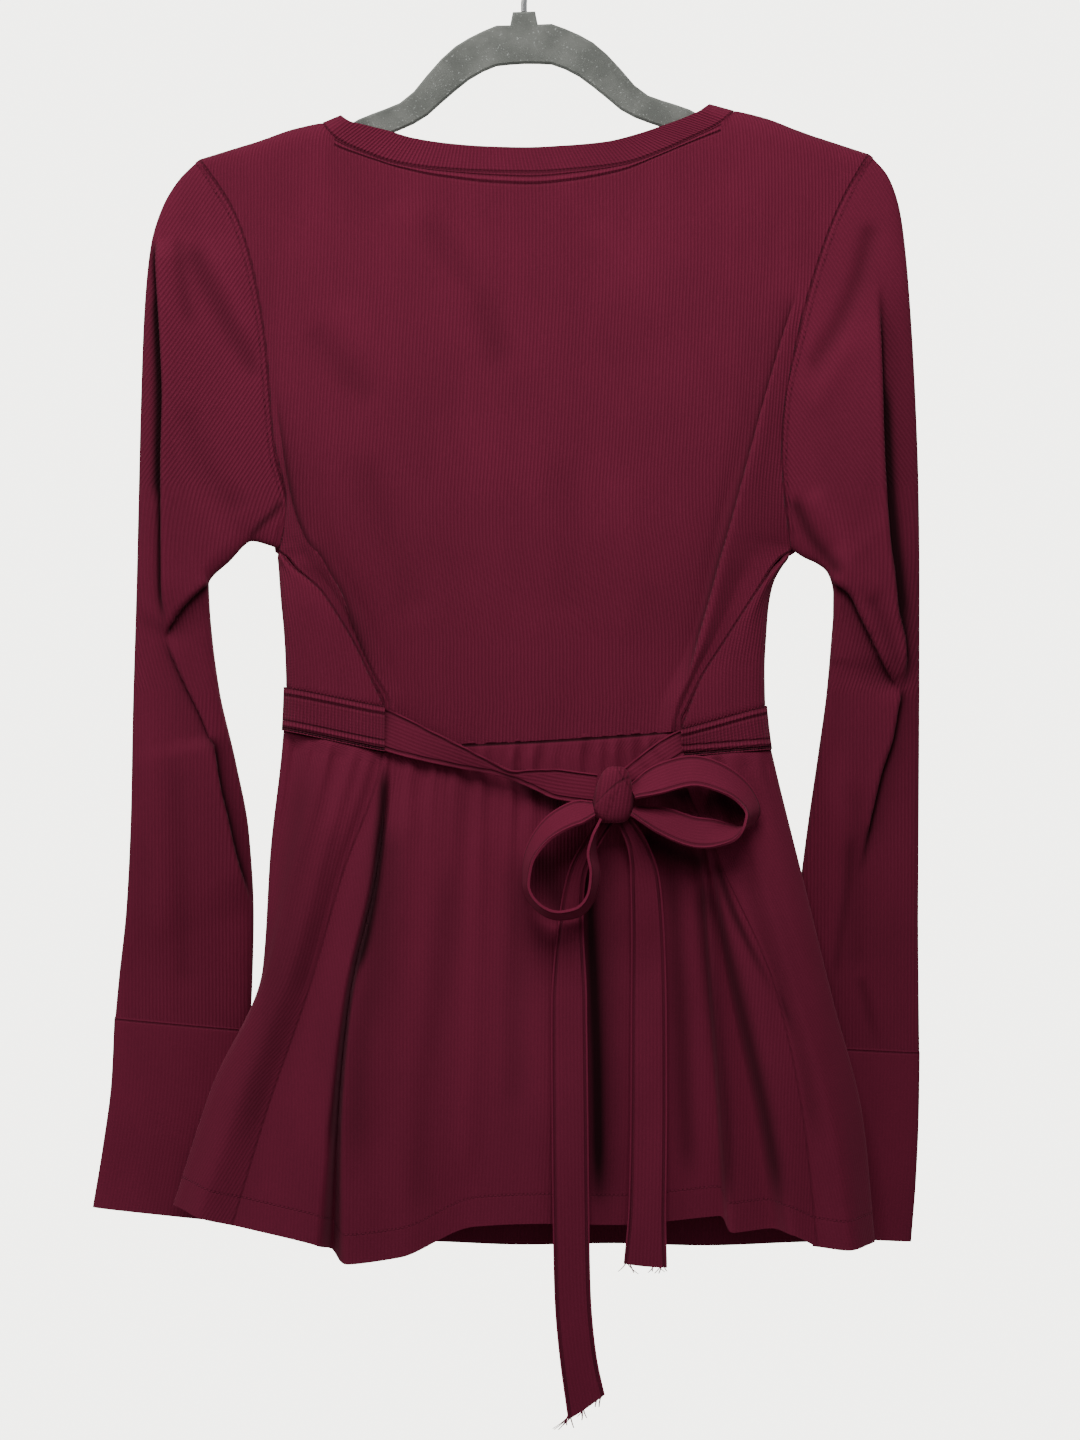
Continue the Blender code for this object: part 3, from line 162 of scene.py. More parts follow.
# Back skirt folds: x at each level, y at each level, top z, hem z, columns to next.
# Its first and last rows are the side seams
BACK_SKIRT = (
    (None, None, -504.2, -777, 3),
    ((-79, -81, -88.5, -104.5, -112.5, -120), (-11, -13, -20, -22, -23, -24), -504, -788, 2),
    ((-77, -78, -85.5, -101.2, -108, -111), (-10.5, -11, -12, -9, -6, -5), -503.9, -792, 2),
    ((-74, -75, -82, -98, -103, -101.5), (-10.5, -12, -18.5, -22, -24, -24), -503.7, -799, 8),
    ((-50, -51, -54, -60, -66, -71), (-10, -11.5, -16.5, -20, -22, -23), -502, -795, 8),
    ((-19, -19, -20, -22, -24, -29), (-10, -10.5, -12, -13.5, -15, -15), -500.6, -778, 8),
    ((13, 13, 13, 13, 13, 12), (-10, -11, -14, -16, -17.5, -18), -499, -776, 8),
    ((45, 46, 48, 51, 53, 54), (-10, -10.5, -12, -13.5, -14, -14.5), -497, -777, 8),
    ((75, 78, 98, 104, 109, 113), (-10, -11, -12.5, -12.5, -12, -12), -494.6, -772, 2),
    ((80, 83, 103, 109.5, 115.5, 120.5), (-10.5, -12.5, -17, -19, -20, -20), -494, -781, 2),
    ((83, 86, 106, 117, 131, 143), (-10.8, -12.6, -16, -15, -14, -14), -493.8, -779, 2),
    ((86.5, 88.5, 109, 125.5, 143, 155), (-11, -13, -19.5, -23, -25, -26), -493.5, -782, 3),
    (None, None, -493.2, -789, 0),
)
# Front skirt folds, from the left seam round the front to the right seam: the
# same columns, the top z read off the band's lower edge
FRONT_SKIRT = (
    (None, None, None, -777, 4),
    ((-98, -102, -117, -137, -163, -186), (-12, -14.5, -19, -21, -21, -20), None, -773, 4),
    ((-113, -116, -130, -147.5, -175, -197), (-12, -14, -17, -16.5, -13, -10), None, -768.5, 2),
    ((-123, -126, -137, -149.5, -178.5, -201), (-9, -9, -9.5, -11, -8, -5), None, -767.2, 3),
    ((-139, -140.5, -146.5, -151, -180.5, -203), (-1, -1, -1, -3, -2, 0), None, -767, 2),
    ((-134, -136, -142, -147.5, -174, -197), (6, 7, 8, 8, 8, 7), None, -769, 4),
    ((-108, -110, -117, -124, -140, -156), (8.2, 10, 13, 15, 16, 16), None, -777, 4),
    ((-73, -74, -78, -83, -92, -101), (8.2, 9, 10, 10.5, 11, 11), None, -785, 4),
    ((-38, -38, -40, -42, -46, -50), (8.2, 10.5, 14, 17, 18, 19), None, -790, 4),
    ((0, 0, 0, 0, 0, 0), (8.2, 9, 10, 10.5, 11, 11), None, -791, 4),
    ((38, 38, 41, 44, 48, 52), (8.2, 10.5, 14, 17, 18, 19), None, -791, 4),
    ((76, 77, 82, 90, 98, 105), (8.2, 9, 10, 10.5, 11, 11), None, -791.5, 4),
    ((112, 114, 126, 138, 149, 158), (8.2, 10, 13, 14, 15, 15), None, -790, 4),
    ((138, 142, 155, 171, 189, 197), (6, 6.5, 7, 7, 7, 7), None, -788.5, 2),
    ((143, 147, 160.5, 178, 196, 203), (-1, -1, -1, -2, -2, -1), None, -788, 3),
    ((138, 142, 154, 171, 189, 198), (-8.5, -9, -12, -13, -13, -12), None, -789, 2),
    ((116, 120, 135, 157, 176, 187), (-12.5, -15, -20, -22, -23.5, -24), None, -791, 4),
    (None, None, None, -789, 0),
)
# Sleeve rings from armhole to cuff: outer x, z, inner x, z, y of the middle,
# half depth
LEFT_SLEEVE = (
    (-188, -161, -142, -386, 0, 7), (-200, -173, -149, -383.5, 0.2, 7.4),
    (-209.5, -189, -158, -381.5, 0.6, 7.8), (-216.5, -213, -171, -393, 1.4, 8),
    (-220, -250, -183.5, -407, 3, 8.2), (-222, -300, -183, -421, 5, 8.4),
    (-223.5, -352, -181.5, -440, 8, 8.6), (-225, -407, -177.5, -470, 11, 8.6),
    (-227.5, -480, -168.5, -510, 15, 8.4), (-229, -540, -161, -552, 19.5, 8),
    (-232, -595, -158.5, -598, 24, 7.4), (-236.5, -635, -159.5, -638, 27.5, 6.8),
    (-239, -660, -161, -667, 29, 6.2),
)
RIGHT_SLEEVE = (
    (200, -158, 155, -386, 0, 7), (211, -171, 162.5, -391, 0.2, 7.4), (217.5, -190, 170, -394.5, 0.6, 7.8),
    (221, -215, 176.5, -400, 1.4, 8), (224, -250, 180, -412, 3, 8.2), (227, -300, 180, -424, 5, 8.4),
    (229, -352, 179, -440, 8, 8.6), (229.8, -407, 176.5, -470, 11, 8.6), (230, -480, 172, -505, 16, 8.4),
    (230, -540, 166, -548, 21, 8), (230, -595, 160, -597, 25.5, 7.4), (230.5, -640, 155, -640, 28.5, 6.8),
    (231, -680, 153, -676, 30, 6.2),
)
LEFT_CUFF = (
    (-239.2, -660.5, -161, -667.5, 29, 6.3), (-241, -697, -161.5, -705, 30, 6),
    (-246, -735, -163.5, -742, 30.5, 5.8), (-252, -771, -166, -780, 31, 6.2),
)
RIGHT_CUFF = (
    (231, -680.5, 152.8, -676.5, 30, 6.3), (230.5, -715, 152, -711, 30.5, 6),
    (229, -752, 151, -748, 31, 5.8), (226, -791, 150, -787, 31.5, 6.2),
)
# Free edge of the neckband: x on its seam, x and z of the free edge there
NECKBAND_BACK = (
    (-117, -106, -135.4), (-112, -101.4, -138.6), (-100, -85, -142.6), (-60, -54, -150.6), (0, -3, -154),
    (56, 45, -151), (99, 80, -141.6), (117, 102.4, -132.4), (122, 107.4, -129),
)
NECKBAND_FRONT = (
    (-117, -106, -135.4), (-113, -101, -140.6), (-104, -92, -154.5), (-90, -78.6, -175.6),
    (-70, -60.5, -197.6), (-42, -36.8, -215), (2, 1.6, -223), (46, 40.6, -215), (74, 64, -197),
    (94, 82.4, -173.8), (108.5, 96.6, -150.7), (117.5, 105, -134.6), (122, 107.4, -129),
)
# Ribbons: x, y, z of the middle line, width, turn of its face from the viewer
STRAP_LEFT = (
    (-80.4, -15.7, -490.8, 25, 0), (-61, -17, -498.5, 19.5, 4), (-38, -18.6, -506, 14.5, 12),
    (-18, -20, -512.5, 9, 24), (-8, -20.8, -516, 7.5, 24), (6, -21.6, -520, 10, 10),
    (22, -22.8, -525, 12, 4), (41.2, -24.4, -528, 11, 0),
)
STRAP_RIGHT = (
    (91.2, -15.7, -498, 16, 0), (81, -18.2, -504.6, 15, 6), (71, -20.6, -511, 13, 8),
    (59.2, -23.6, -519, 11, 4),
)
# Bow loops: x, y, z of the middle line
LOOP_RIGHT = (
    (62.4, -31, -526.8), (82, -32, -520.6), (98, -32, -517.5), (114, -32, -521), (126, -32, -528.5),
    (131.5, -32, -538), (127, -32, -546), (114, -32, -549), (100, -31.6, -547.5), (82, -31, -542.6),
    (62.4, -30, -537.4),
)
LOOP_LEFT = (
    (40.2, -32, -536.6), (30, -32, -539), (18, -32, -545), (8, -32.4, -555), (2, -32.6, -568),
    (1, -32.8, -581), (7, -32.8, -592), (19, -32.8, -598), (31, -32.8, -596), (39, -32.8, -586),
    (41, -32.8, -573), (39, -32.4, -562), (40.4, -32, -554), (44.2, -31.4, -547.6),
)
TAIL_LONG = (
    (48, -23.8, -546.2, 8, 0), (38.6, -19.6, -557, 9, 0), (30, -18, -576, 11, 0),
    (26.8, -18.4, -607, 15, 0), (26, -19.6, -648, 20.5, 0), (26.5, -21.2, -706, 21, 0),
    (27, -22.6, -764, 21, 0), (28, -23.4, -816, 21, 0), (31, -23.8, -851, 21, 0),
    (36, -23.8, -881, 21.5, 0),
)
TAIL_SHORT = (
    (56.8, -26.2, -545.2, 8, 0), (65.6, -20.4, -558, 12, 0), (70, -17.6, -578, 17, 0),
    (71.5, -17.2, -613, 19.5, 0), (72, -17.4, -648, 20.5, 0), (72, -18.2, -706, 21, 0),
    (71.2, -19, -764, 21.5, 0), (70, -19.4, -800, 25, 0),
)
KNOT_CENTRE = (51.6, -28, -531)
KNOT_HALF = (10.6, 7.6, 15.5)

# Folds on the cloth and the shade painted on them: height, width, reach, painted shade,
# path of x, z. One without a reach is a ridge or a hollow: hollows are painted darker and
# raised ridges a little lighter, and one of no height is only painted shadow, such as under
# the bow's loops and ties, between the tails and in the slits beside folds. One with a
# reach is a lap, which stands over what lies on its left as its path goes down, and its
# width is that of the hollow beside it, where its painted shadow falls
LEFT_SLEEVE_FOLDS_AND_SHADE = (
    (5, 3, 24, 1, ((-213, -205), (-213, -217), (-212, -237), (-210, -270), (-209, -299), (-210, -339),
     (-210, -377), (-210, -409), (-208, -434))),
    (4, 7, 22, 0.7, ((-210, -438), (-203, -427), (-195, -417), (-184, -407), (-170, -395), (-156, -381))),
    (1.6, 6, 9, 0.45, ((-209, -437), (-198, -462), (-186, -487), (-179, -507))),
    (4.2, 5, 26, 0.9, ((-157, -600), (-168, -565), (-173, -542), (-177, -525), (-180, -505), (-182, -494))),
    (-1.5, 6, 0, 0.26, ((-194, -206), (-188, -222), (-182, -235), (-171, -257), (-159, -278),
     (-151, -287))),
    (1, 7, 0, 0, ((-180, -212), (-170, -236), (-159, -258), (-152, -266))),
    (-1.1, 4, 0, 0.2, ((-201, -206), (-199, -218), (-197, -236), (-192, -262))),
    (-0.9, 7, 0, 0.12, ((-196, -300), (-188, -330), (-176, -352), (-160, -366))),
    (0, 2.4, 0, 0.55, ((-214, -236), (-213.5, -262), (-213, -295), (-213.5, -335), (-214, -360))),
    (0, 2, 0, 0.6, ((-160, -382), (-153, -373), (-144, -364), (-140, -358))),
    (1, 7, 0, 0, ((-217, -480), (-215, -530), (-213, -580), (-211, -620))),
    (-0.9, 6, 0, 0.12, ((-203, -500), (-200, -560), (-199, -610), (-198, -650))),
)
RIGHT_SLEEVE_FOLDS_AND_SHADE = (
    (5, 8, 24, 0.9, ((220, -466), (222, -453), (221, -438), (217, -422), (214.6, -400), (212, -382),
     (210, -358), (208, -323), (207, -288), (206, -259), (205, -230))),
    (4, 8, 24, 0.7, ((168, -394), (180, -406), (189, -413), (195, -425), (203, -441), (211, -457),
     (219, -467))),
    (4, 6, 18, 0.9, ((194, -580), (204, -532), (208, -515), (214, -497), (217, -480), (220, -466))),
    (1.6, 6, 0, 0, ((166, -352), (172, -363), (184, -382), (190, -397), (208, -416))),
    (-1.5, 3.5, 0, 0.2, ((200, -412), (207, -426), (213, -442), (218, -459))),
    (-1.4, 5.5, 0, 0.26, ((202, -196), (199, -208), (194, -228), (184, -253), (173, -272), (162, -287))),
    (1, 7, 0, 0, ((190, -262), (182, -280), (172, -296), (164, -306))),
    (1, 7, 0, 0, ((184, -500), (182, -550), (180, -600), (178, -650))),
    (-0.9, 6, 0, 0.14, ((195, -520), (194, -580), (193, -640))),
    (0, 2.8, 0, 0.6, ((210, -282), (212, -318), (214, -350), (217, -380), (220, -406), (224, -440))),
    (-1, 4, 0, 0.5, ((155, -356), (160, -366), (166, -378), (176, -392), (186, -402))),
    (-0.8, 3, 0, 0.25, ((190, -550), (189, -580), (185, -610), (181, -640))),
    (-0.8, 3, 0, 0.22, ((196, -634), (201, -656), (207, -680))),
)
BACK_FOLDS_AND_SHADE = (
    (1.6, 9, 12, 0.5, ((-82, -476), (-90, -454), (-97, -435), (-101, -425), (-106, -412), (-112, -402),
     (-118, -391), (-125, -382), (-132, -364), (-136, -346), (-141, -318), (-145, -286))),
    (1.8, 9, 12, 0.5, ((160, -236), (154, -251), (144, -284), (134.4, -318), (125, -353), (119, -375),
     (113.7, -393), (107, -418), (100, -443), (93, -474))),
    (-1.2, 4, 0, 0.3, ((-134, -398), (-125, -404), (-116, -416), (-108, -428), (-100, -440))),
    (0.9, 10, 0, 0, ((-80, -184), (-60, -204), (-40, -228), (-24, -252))),
    (-1, 9, 0, 0.16, ((-66, -192), (-46, -214), (-30, -236), (-18, -262), (-10, -286))),
    (-1, 9, 0, 0.14, ((-126, -256), (-112, -274), (-98, -290), (-86, -302))),
    (0.8, 11, 0, 0, ((-112, -244), (-98, -262), (-84, -280), (-74, -300))),
    (-0.8, 10, 0, 0.1, ((-96, -330), (-84, -362), (-70, -400), (-62, -430))),
    (0.8, 9, 0, 0, ((40, -196), (64, -226), (84, -262))),
    (-0.7, 10, 0, 0.08, ((20, -330), (28, -380), (24, -430))),
    (0.7, 10, 0, 0, ((58, -340), (62, -390), (56, -446))),
)
FRONT_FOLDS_AND_SHADE = (
    (-1.2, 8, 0, 0.16, ((-120, -200), (-96, -232), (-70, -262), (-40, -290))),
    (1, 10, 0, 0, ((126, -206), (98, -240), (66, -270), (30, -292))),
    (-1.1, 8, 0, 0.14, ((110, -330), (80, -356), (46, -372), (10, -380))),
    (1.2, 9, 0, 0, ((-132, -352), (-104, -372), (-70, -392), (-30, -404))),
    (-0.9, 8, 0, 0.12, ((-40, -240), (-34, -290), (-20, -340), (-14, -400))),
    (0.9, 9, 0, 0, ((44, -250), (52, -310), (48, -370), (56, -440))),
    (-0.9, 7, 0, 0.12, ((-110, -420), (-90, -440), (-70, -466))),
)
SKIRT_FOLDS_AND_SHADE = (
    (0, 3, 0, 0.8, ((-80, -508), (-82, -540), (-85, -575), (-90, -606), (-97, -634))),
    (0, 2.2, 0, 0.5, ((-93, -615), (-99, -640), (-104, -662), (-109, -700), (-114, -740))),
    (0, 11, 0, 0.3, ((-78, -540), (-79, -580), (-84, -630), (-94, -680), (-98, -760))),
    (0, 4, 0, 0.5, ((101, -572), (104, -610), (110, -660), (116, -720), (118, -774))),
    (0, 4.5, 0, 0.6, ((102, -566), (116, -614), (128, -662), (140, -716), (150, -774))),
    (0, 7, 0, 0.75, ((70, -524), (84, -527), (104, -529), (116, -533), (130, -541))),
    (0, 7, 0, 0.75, ((66, -552), (78, -558), (92, -564), (108, -570))),
    (0, 4.5, 0, 0.7, ((-10, -516), (2, -524), (14, -531), (26, -537))),
    (0, 9, 0, 0.5, ((10, -560), (14, -574), (20, -588), (26, -596))),
    (0, 4.5, 0, 0.75, ((36, -566), (38, -600), (40, -640), (42, -700), (43, -780))),
    (0, 6, 0, 0.35, ((70, -500), (76, -505), (82, -508))),
    (0, 2.6, 0, 0.6, ((108, -560), (114, -578), (121, -597), (131, -617), (144, -641), (156, -668))),
    (1, 8, 0, 0, ((-62, -520), (-68, -580), (-80, -640), (-88, -720))),
    (-1, 8, 0, 0.12, ((-40, -560), (-48, -640), (-58, -720), (-60, -780))),
    (1.2, 9, 0, 0, ((-24, -530), (-26, -600), (-30, -690), (-36, -760))),
    (-1, 8, 0, 0.14, ((-4, -560), (-4, -640), (-6, -720))),
    (1, 9, 0, 0, ((60, -520), (66, -580), (70, -660), (72, -740))),
    (-1.4, 10, 0, 0.3, ((47, -548), (45, -620), (46, -700), (47, -784))),
    (-1, 6, 0, 0.35, ((84, -556), (88, -620), (92, -690), (96, -760))),
)
SIDE_FOLDS_AND_SHADE = (
    (0, 12, 0, 0.22, ((-124, -500), (-130, -560), (-138, -620), (-150, -680), (-160, -740))),
    (-0.8, 7, 0, 0.12, ((-108, -540), (-116, -588), (-124, -620), (-128, -650))),
    (0, 7, 0, 0.7, ((104, -530), (116, -533), (130, -541))),
    (0, 2.6, 0, 0.5, ((108, -560), (114, -578), (121, -597), (131, -617), (144, -641), (156, -668))),
    (0, 3.5, 0, 0.2, ((-96, -560), (-106, -600), (-118, -650), (-132, -710), (-144, -770))),
    (-1, 6, 0, 0.2, ((126, -560), (140, -610), (158, -670), (172, -740))),
    (0.9, 6, 0, 0, ((112, -540), (128, -600), (150, -664), (164, -740))),
)


def through(places, values, wanted):
    """Smooth curve through a table's rows that never swings past a row."""
    places = np.asarray(places, float)
    values = np.asarray(values, float)
    wanted = np.asarray(wanted, float)
    flat = values.ndim == 1
    if flat:
        values = values[:, None]
    if places[0] > places[-1]:
        places, values = places[::-1], values[::-1]
    step = np.diff(places)
    slope = np.diff(values, axis=0) / step[:, None]
    steepness = np.zeros_like(values)
    steepness[0], steepness[-1] = slope[0], slope[-1]
    product = slope[:-1] * slope[1:]
    total = slope[:-1] + slope[1:]
    inner = np.where(product > 0, 2 * product / np.where(total == 0, 1, total), 0)
    steepness[1:-1] = inner
    index = np.clip(np.searchsorted(places, wanted) - 1, 0, len(step) - 1)
    t = np.clip((wanted - places[index]) / step[index], 0, 1)[:, None]
    h = step[index][:, None]
    result = ((2 * t ** 3 - 3 * t ** 2 + 1) * values[index]
              + (t ** 3 - 2 * t ** 2 + t) * h * steepness[index]
              + (3 * t ** 2 - 2 * t ** 3) * values[index + 1]
              + (t ** 3 - t ** 2) * h * steepness[index + 1])
    return result[:, 0] if flat else result


def column(table, index):
    """One column of a table."""
    return [row[index] for row in table]


def at(table, place):
    """The rest of a table's row at a place in its first column."""
    return through(column(table, 0), [row[1:] for row in table], [place])[0]


def at_height(table, height):
    """First and third value of a table's row at a height, its second value."""
    return through(column(table, 1), [(row[0], row[2]) for row in table], [height])[0]


def surface_normals(grid, ring):
    """Unit normals of a grid of points, rows by columns."""
    if ring:
        along = np.roll(grid, -1, axis=1) - np.roll(grid, 1, axis=1)
    else:
        along = np.gradient(grid, axis=1)
    across = np.gradient(grid, axis=0)
    normal = np.cross(along, across)
    return normal / np.maximum(np.linalg.norm(normal, axis=2, keepdims=True), 1e-9)


def armhole_table(side):
    """Rows of one armhole."""
    return ARMHOLE_LEFT if side < 0 else ARMHOLE_RIGHT


def armhole_heights(side):
    """Heights at which the sleeve's ring and the two panels have their points."""
    tip, low = armhole_table(side)[0][1], armhole_table(side)[-1][1]
    half = SLEEVE_COLUMNS // 2
    return [tip + (low - tip) * (1.0 - squared_cosine(math.pi * step / half)) / 2
            for step in range(half + 1)]


def squared_cosine(angle):
    """Cosine made fuller, so that a flattened ring has nearly straight sides."""
    return math.copysign(abs(math.cos(angle)) ** 0.85, math.cos(angle))


def rolled(top_y, flat_y, drop):
    """y of a panel that rolls from its top edge down to its flat depth."""
    share = min(max(drop / SHOULDER_ROLL, 0.0), 1.0)
    return top_y + (flat_y - top_y) * math.sqrt(1.0 - (1.0 - share) ** 2)


def panel_edge(side, height, sign):
    """x and y of a body panel's sewn edge: armhole above, side seam below."""
    seam = SIDE_SEAM_LEFT if side < 0 else SIDE_SEAM_RIGHT
    if height >= seam[0][1]:
        x, depth = at_height(armhole_table(side), height)
        return x - side * SEAM, depth * sign
    x, y = at_height(seam, height)
    below = (seam[0][1] - height) / UNDERARM_REACH
    ease = SEAM + UNDERARM_EASE * below * math.exp(1.0 - below)
    return x + side * sign * ease, y


def spread(stations, counts):
    """Column positions: each stretch between two stations cut into equal steps."""
    places = [0.0]
    for index, count in enumerate(counts):
        places += [index + (step + 1) / count for step in range(count)]
    return through(range(len(stations)), stations, places)


def flat_depth(height):
    """y of the flat parts of the back and the front at a height."""
    return at(PANEL_DEPTH, height)


def panel_rows():
    """Heights of a panel's rows at its two armholes, from the shoulder down."""
    left, right = armhole_heights(-1), armhole_heights(1)
    return [(left[0], right[0]), (left[0] - 2.0, right[0] - 2.0)] + list(zip(left, right))[1:]


def neck_stations(edge_left, edge_right, share, offsets):
    """x of the columns beside the neck, which spread out towards the waist."""
    middle = (edge_left + edge_right) / 2
    step = (middle - edge_left) / (len(offsets) + 1)
    left, right = [], []
    for number, offset in enumerate(offsets):
        low = step * (number + 1)
        left.append((NECK_LEFT + offset) * (1 - share) + (edge_left + low) * share)
        right.append((NECK_RIGHT - offset) * (1 - share) + (edge_right - low) * share)
    return left + [middle] + right[::-1]


def neck_distance(x, z):
    """Distance from the nearer neck point of a point on a panel's top edge."""
    if x <= NECK_LEFT or x >= NECK_RIGHT:
        return 0.0
    (left_z, right_z) = through(column(BACK_TOP, 0), column(BACK_TOP, 1), [NECK_LEFT, NECK_RIGHT])
    return min(math.hypot(x - NECK_LEFT, z - left_z), math.hypot(x - NECK_RIGHT, z - right_z))


def top_points(line, top_table):
    """x and z of each column on a panel's top edge, and the level z there."""
    top_z = through(column(top_table, 0), column(top_table, 1), [point[0] for point in line])
    return [(point[0], float(high), point[2]) for point, high in zip(line, top_z)]


def dropped(line, tops, share):
    """Points of a row pulled to the panel's top edge, more so near the top."""
    points = []
    for (x, y, z), (top_x, top_z, level) in zip(line, tops):
        top_y = rolled(math.copysign(SEAM + CLOTH / 2, y), y, neck_distance(top_x, top_z))
        points.append((x, rolled(top_y, y, level - z), z + (top_z - level) * share))
    return points


def back_grid():
    """Back panel: flat between two folds that stand along its side seams."""
    counts = (2, 2, 2, 2, 1, 1, 1, 4, 4, 1, 1, 1, 2, 2, 2, 2)
    rows = panel_rows() + [(row[0], row[-1]) for row in WRAPPED_ROWS[:-1]] + list(BACK_LAST_ROWS)
    grid, tops = [], None
    for number, (z_left, z_right) in enumerate(rows):
        share = number / (len(rows) - 1)
        main = flat_depth((z_left + z_right) / 2)[0]
        x0, y0 = panel_edge(-1, z_left, -1)
        x9, y9 = panel_edge(1, z_right, -1)
        x2, y2 = at(BACK_CREST_LEFT, z_left)
        x8, y8 = at(BACK_CREST_RIGHT, z_right)
        under_arm = min(max((-380.0 - z_left) / 30.0, 0.0), 1.0)
        hollow = [min(SIDE_HOLLOW, 0.22 * abs(a - b)) * under_arm for a, b in ((x0, x2), (x8, x9))]
        foot_left, foot_right = x2 + CREST_FOOT, x8 - CREST_FOOT
        inner = neck_stations(foot_left, foot_right, share, (0.0, 5.0, 12.0, 26.0))
        xs = [x0, (x0 + x2) / 2, x2, foot_left] + inner + [foot_right, x8, (x8 + x9) / 2, x9]
        ys = [y0, (y0 + y2) / 2 + hollow[0], y2, main] + [main] * 4 + [main - 0.6] + [main] * 4
        ys += [main, y8, (y8 + y9) / 2 + hollow[1], y9]
        zs = [z_left + (z_right - z_left) * (x - x0) / (x9 - x0) for x in xs]
        line = spread(np.array([xs, ys, zs]).T, counts)
        tops = tops or top_points(line, BACK_TOP)
        grid.append(dropped(line, tops, 1.0 - share ** 0.8))
    return np.array(grid)


def round_level(levels, x, on_back):
    """z at x along a level line that runs from seam to seam round the front."""
    left_end, left_side, middle, right_side, right_end = levels
    side_left, side_right = at(BODY_SIDES, middle)
    if on_back and x < 0:
        return float(np.interp(x, (side_left, BAND_ENDS[0]), (left_side, left_end)))
    if on_back:
        return float(np.interp(x, (BAND_ENDS[1], side_right), (right_end, right_side)))
    return float(np.interp(x, (side_left, 0.0, side_right), (left_side, middle, right_side)))


def wrapped_side(edge, side_x, main):
    """x, y of the stations from a seam on the back round one side to the front."""
    x, y = edge
    wide = x - side_x
    inward = math.copysign(1.0, wide)
    near = side_x + inward * min(4.5, 0.3 * abs(wide))
    return [(x, y), (side_x + 0.62 * wide, y - 0.6), (near, y + 2.6),
            (side_x, (y + main) / 2), (side_x + 5.0 * inward, main - 2.0),
            (side_x + 16.0 * inward, main)]


def front_grid():
    """Front panel: scooped neck, its lower sides drawn round onto the back."""
    counts = (1, 1, 2, 2, 1, 2, 1, 1, 1, 1, 2, 3, 3, 2, 1, 1, 1, 1, 2, 1, 2, 2, 1, 1)
    offsets = (0.0, 4.0, 13.0, 27.0, 47.0, 75.0)
    flat_steps = np.array(((0.0, 0.0), (5.0, 0.25), (9.0, 0.45), (14.0, 0.7), (20.0, 1.0), (27.0, 1.0)))
    turning_steps = np.array(((0.0, 0.0), (0.0, 0.06), (0.1, 0.14), (0.5, 0.3), (5.0, 0.76), (16.0, 1.0)))
    grid, tops = [], None
    armhole_rows = panel_rows()
    for number, (z_left, z_right) in enumerate(armhole_rows):
        share = number / (len(armhole_rows) - 1)
        main = flat_depth((z_left + z_right) / 2)[1]
        x0, y0 = panel_edge(-1, z_left, 1)
        x9, y9 = panel_edge(1, z_right, 1)
        steps = flat_steps + (turning_steps - flat_steps) * share ** 4
        left = [(x0 + step, y0 + (main - y0) * deep) for step, deep in steps]
        right = [(x9 - step, y9 + (main - y9) * deep) for step, deep in steps]
        inner = neck_stations(left[-1][0], right[-1][0], share ** 2, offsets)
        flat = [(x, main) for x in inner]
        stations = [(x, y, z_left + (z_right - z_left) * (x - x0) / (x9 - x0))
                    for x, y in left + flat + right[::-1]]
        line = spread(np.array(stations), counts)
        tops = tops or top_points(line, FRONT_TOP)
        fade = 1.0 - (tops[0][2] - z_left) / 225.0
        grid.append(dropped(line, tops, max(fade, 0.0)))
    for levels in WRAPPED_ROWS:
        side_left, side_right = at(BODY_SIDES, levels[1])[0], at(BODY_SIDES, levels[3])[1]
        main = flat_depth(levels[2])[1]
        left = wrapped_side(panel_edge(-1, levels[0], 1), side_left, main)
        right = wrapped_side(panel_edge(1, levels[4], 1), side_right, main)
        inner = neck_stations(left[-1][0], right[-1][0], 1.0, offsets)
        heights_left = [float(np.interp(x, sorted((side_left, left[0][0])), levels[1::-1]))
                        for x, _ in left[:4]]
        heights_right = [float(np.interp(x, sorted((right[0][0], side_right)), levels[:2:-1]))
                         for x, _ in right[:4]]
        front_x = [x for x, _ in left[4:]] + inner + [x for x, _ in right[:3:-1]]
        heights_front = [float(np.interp(x, (side_left, 0.0, side_right), levels[1:4])) for x in front_x]
        xy = left + [(x, main) for x in inner] + right[::-1]
        heights = heights_left + heights_front + heights_right[::-1]
        grid.append(spread(np.array([(x, y, z) for (x, y), z in zip(xy, heights)]), counts))
    return np.array(grid)


def refined(grid, row_steps, column_steps, ring=False):
    """The same surface with more rows and columns."""
    rows, columns = grid.shape[:2]
    wanted = np.linspace(0, rows - 1, (rows - 1) * row_steps + 1)
    grid = through(range(rows), grid.reshape(rows, -1), wanted).reshape(len(wanted), columns, -1)
    wanted = np.linspace(0, columns - 1, (columns - 1) * column_steps + 1)
    if ring:
        grid = np.concatenate([grid[:, -3:], grid, grid[:, :4]], axis=1)
        wanted = 3 + np.arange(columns * column_steps) / column_steps
    turned = grid.transpose(1, 0, 2).reshape(grid.shape[1], -1)
    fine = through(range(grid.shape[1]), turned, wanted)
    return fine.reshape(len(wanted), grid.shape[0], -1).transpose(1, 0, 2)


def softened(grid, passes, ring=False):
    """The surface with its sharp turns evened out, its border kept."""
    grid = grid.copy()
    for _ in range(passes):
        if ring:
            beside = (np.roll(grid, 1, axis=1) + np.roll(grid, -1, axis=1)) / 2
            grid[1:-1] = grid[1:-1] / 2 + (beside[1:-1] + (grid[2:] + grid[:-2]) / 2) / 4
        else:
            middle = grid[1:-1, 1:-1]
            round_it = (grid[2:, 1:-1] + grid[:-2, 1:-1] + grid[1:-1, 2:] + grid[1:-1, :-2]) / 4
            grid[1:-1, 1:-1] = (middle + round_it) / 2
    return grid


def smooth_path(path):
    """More points along a path."""
    places = np.linspace(0, len(path) - 1, (len(path) - 1) * 4 + 1)
    return through(range(len(path)), path, places)


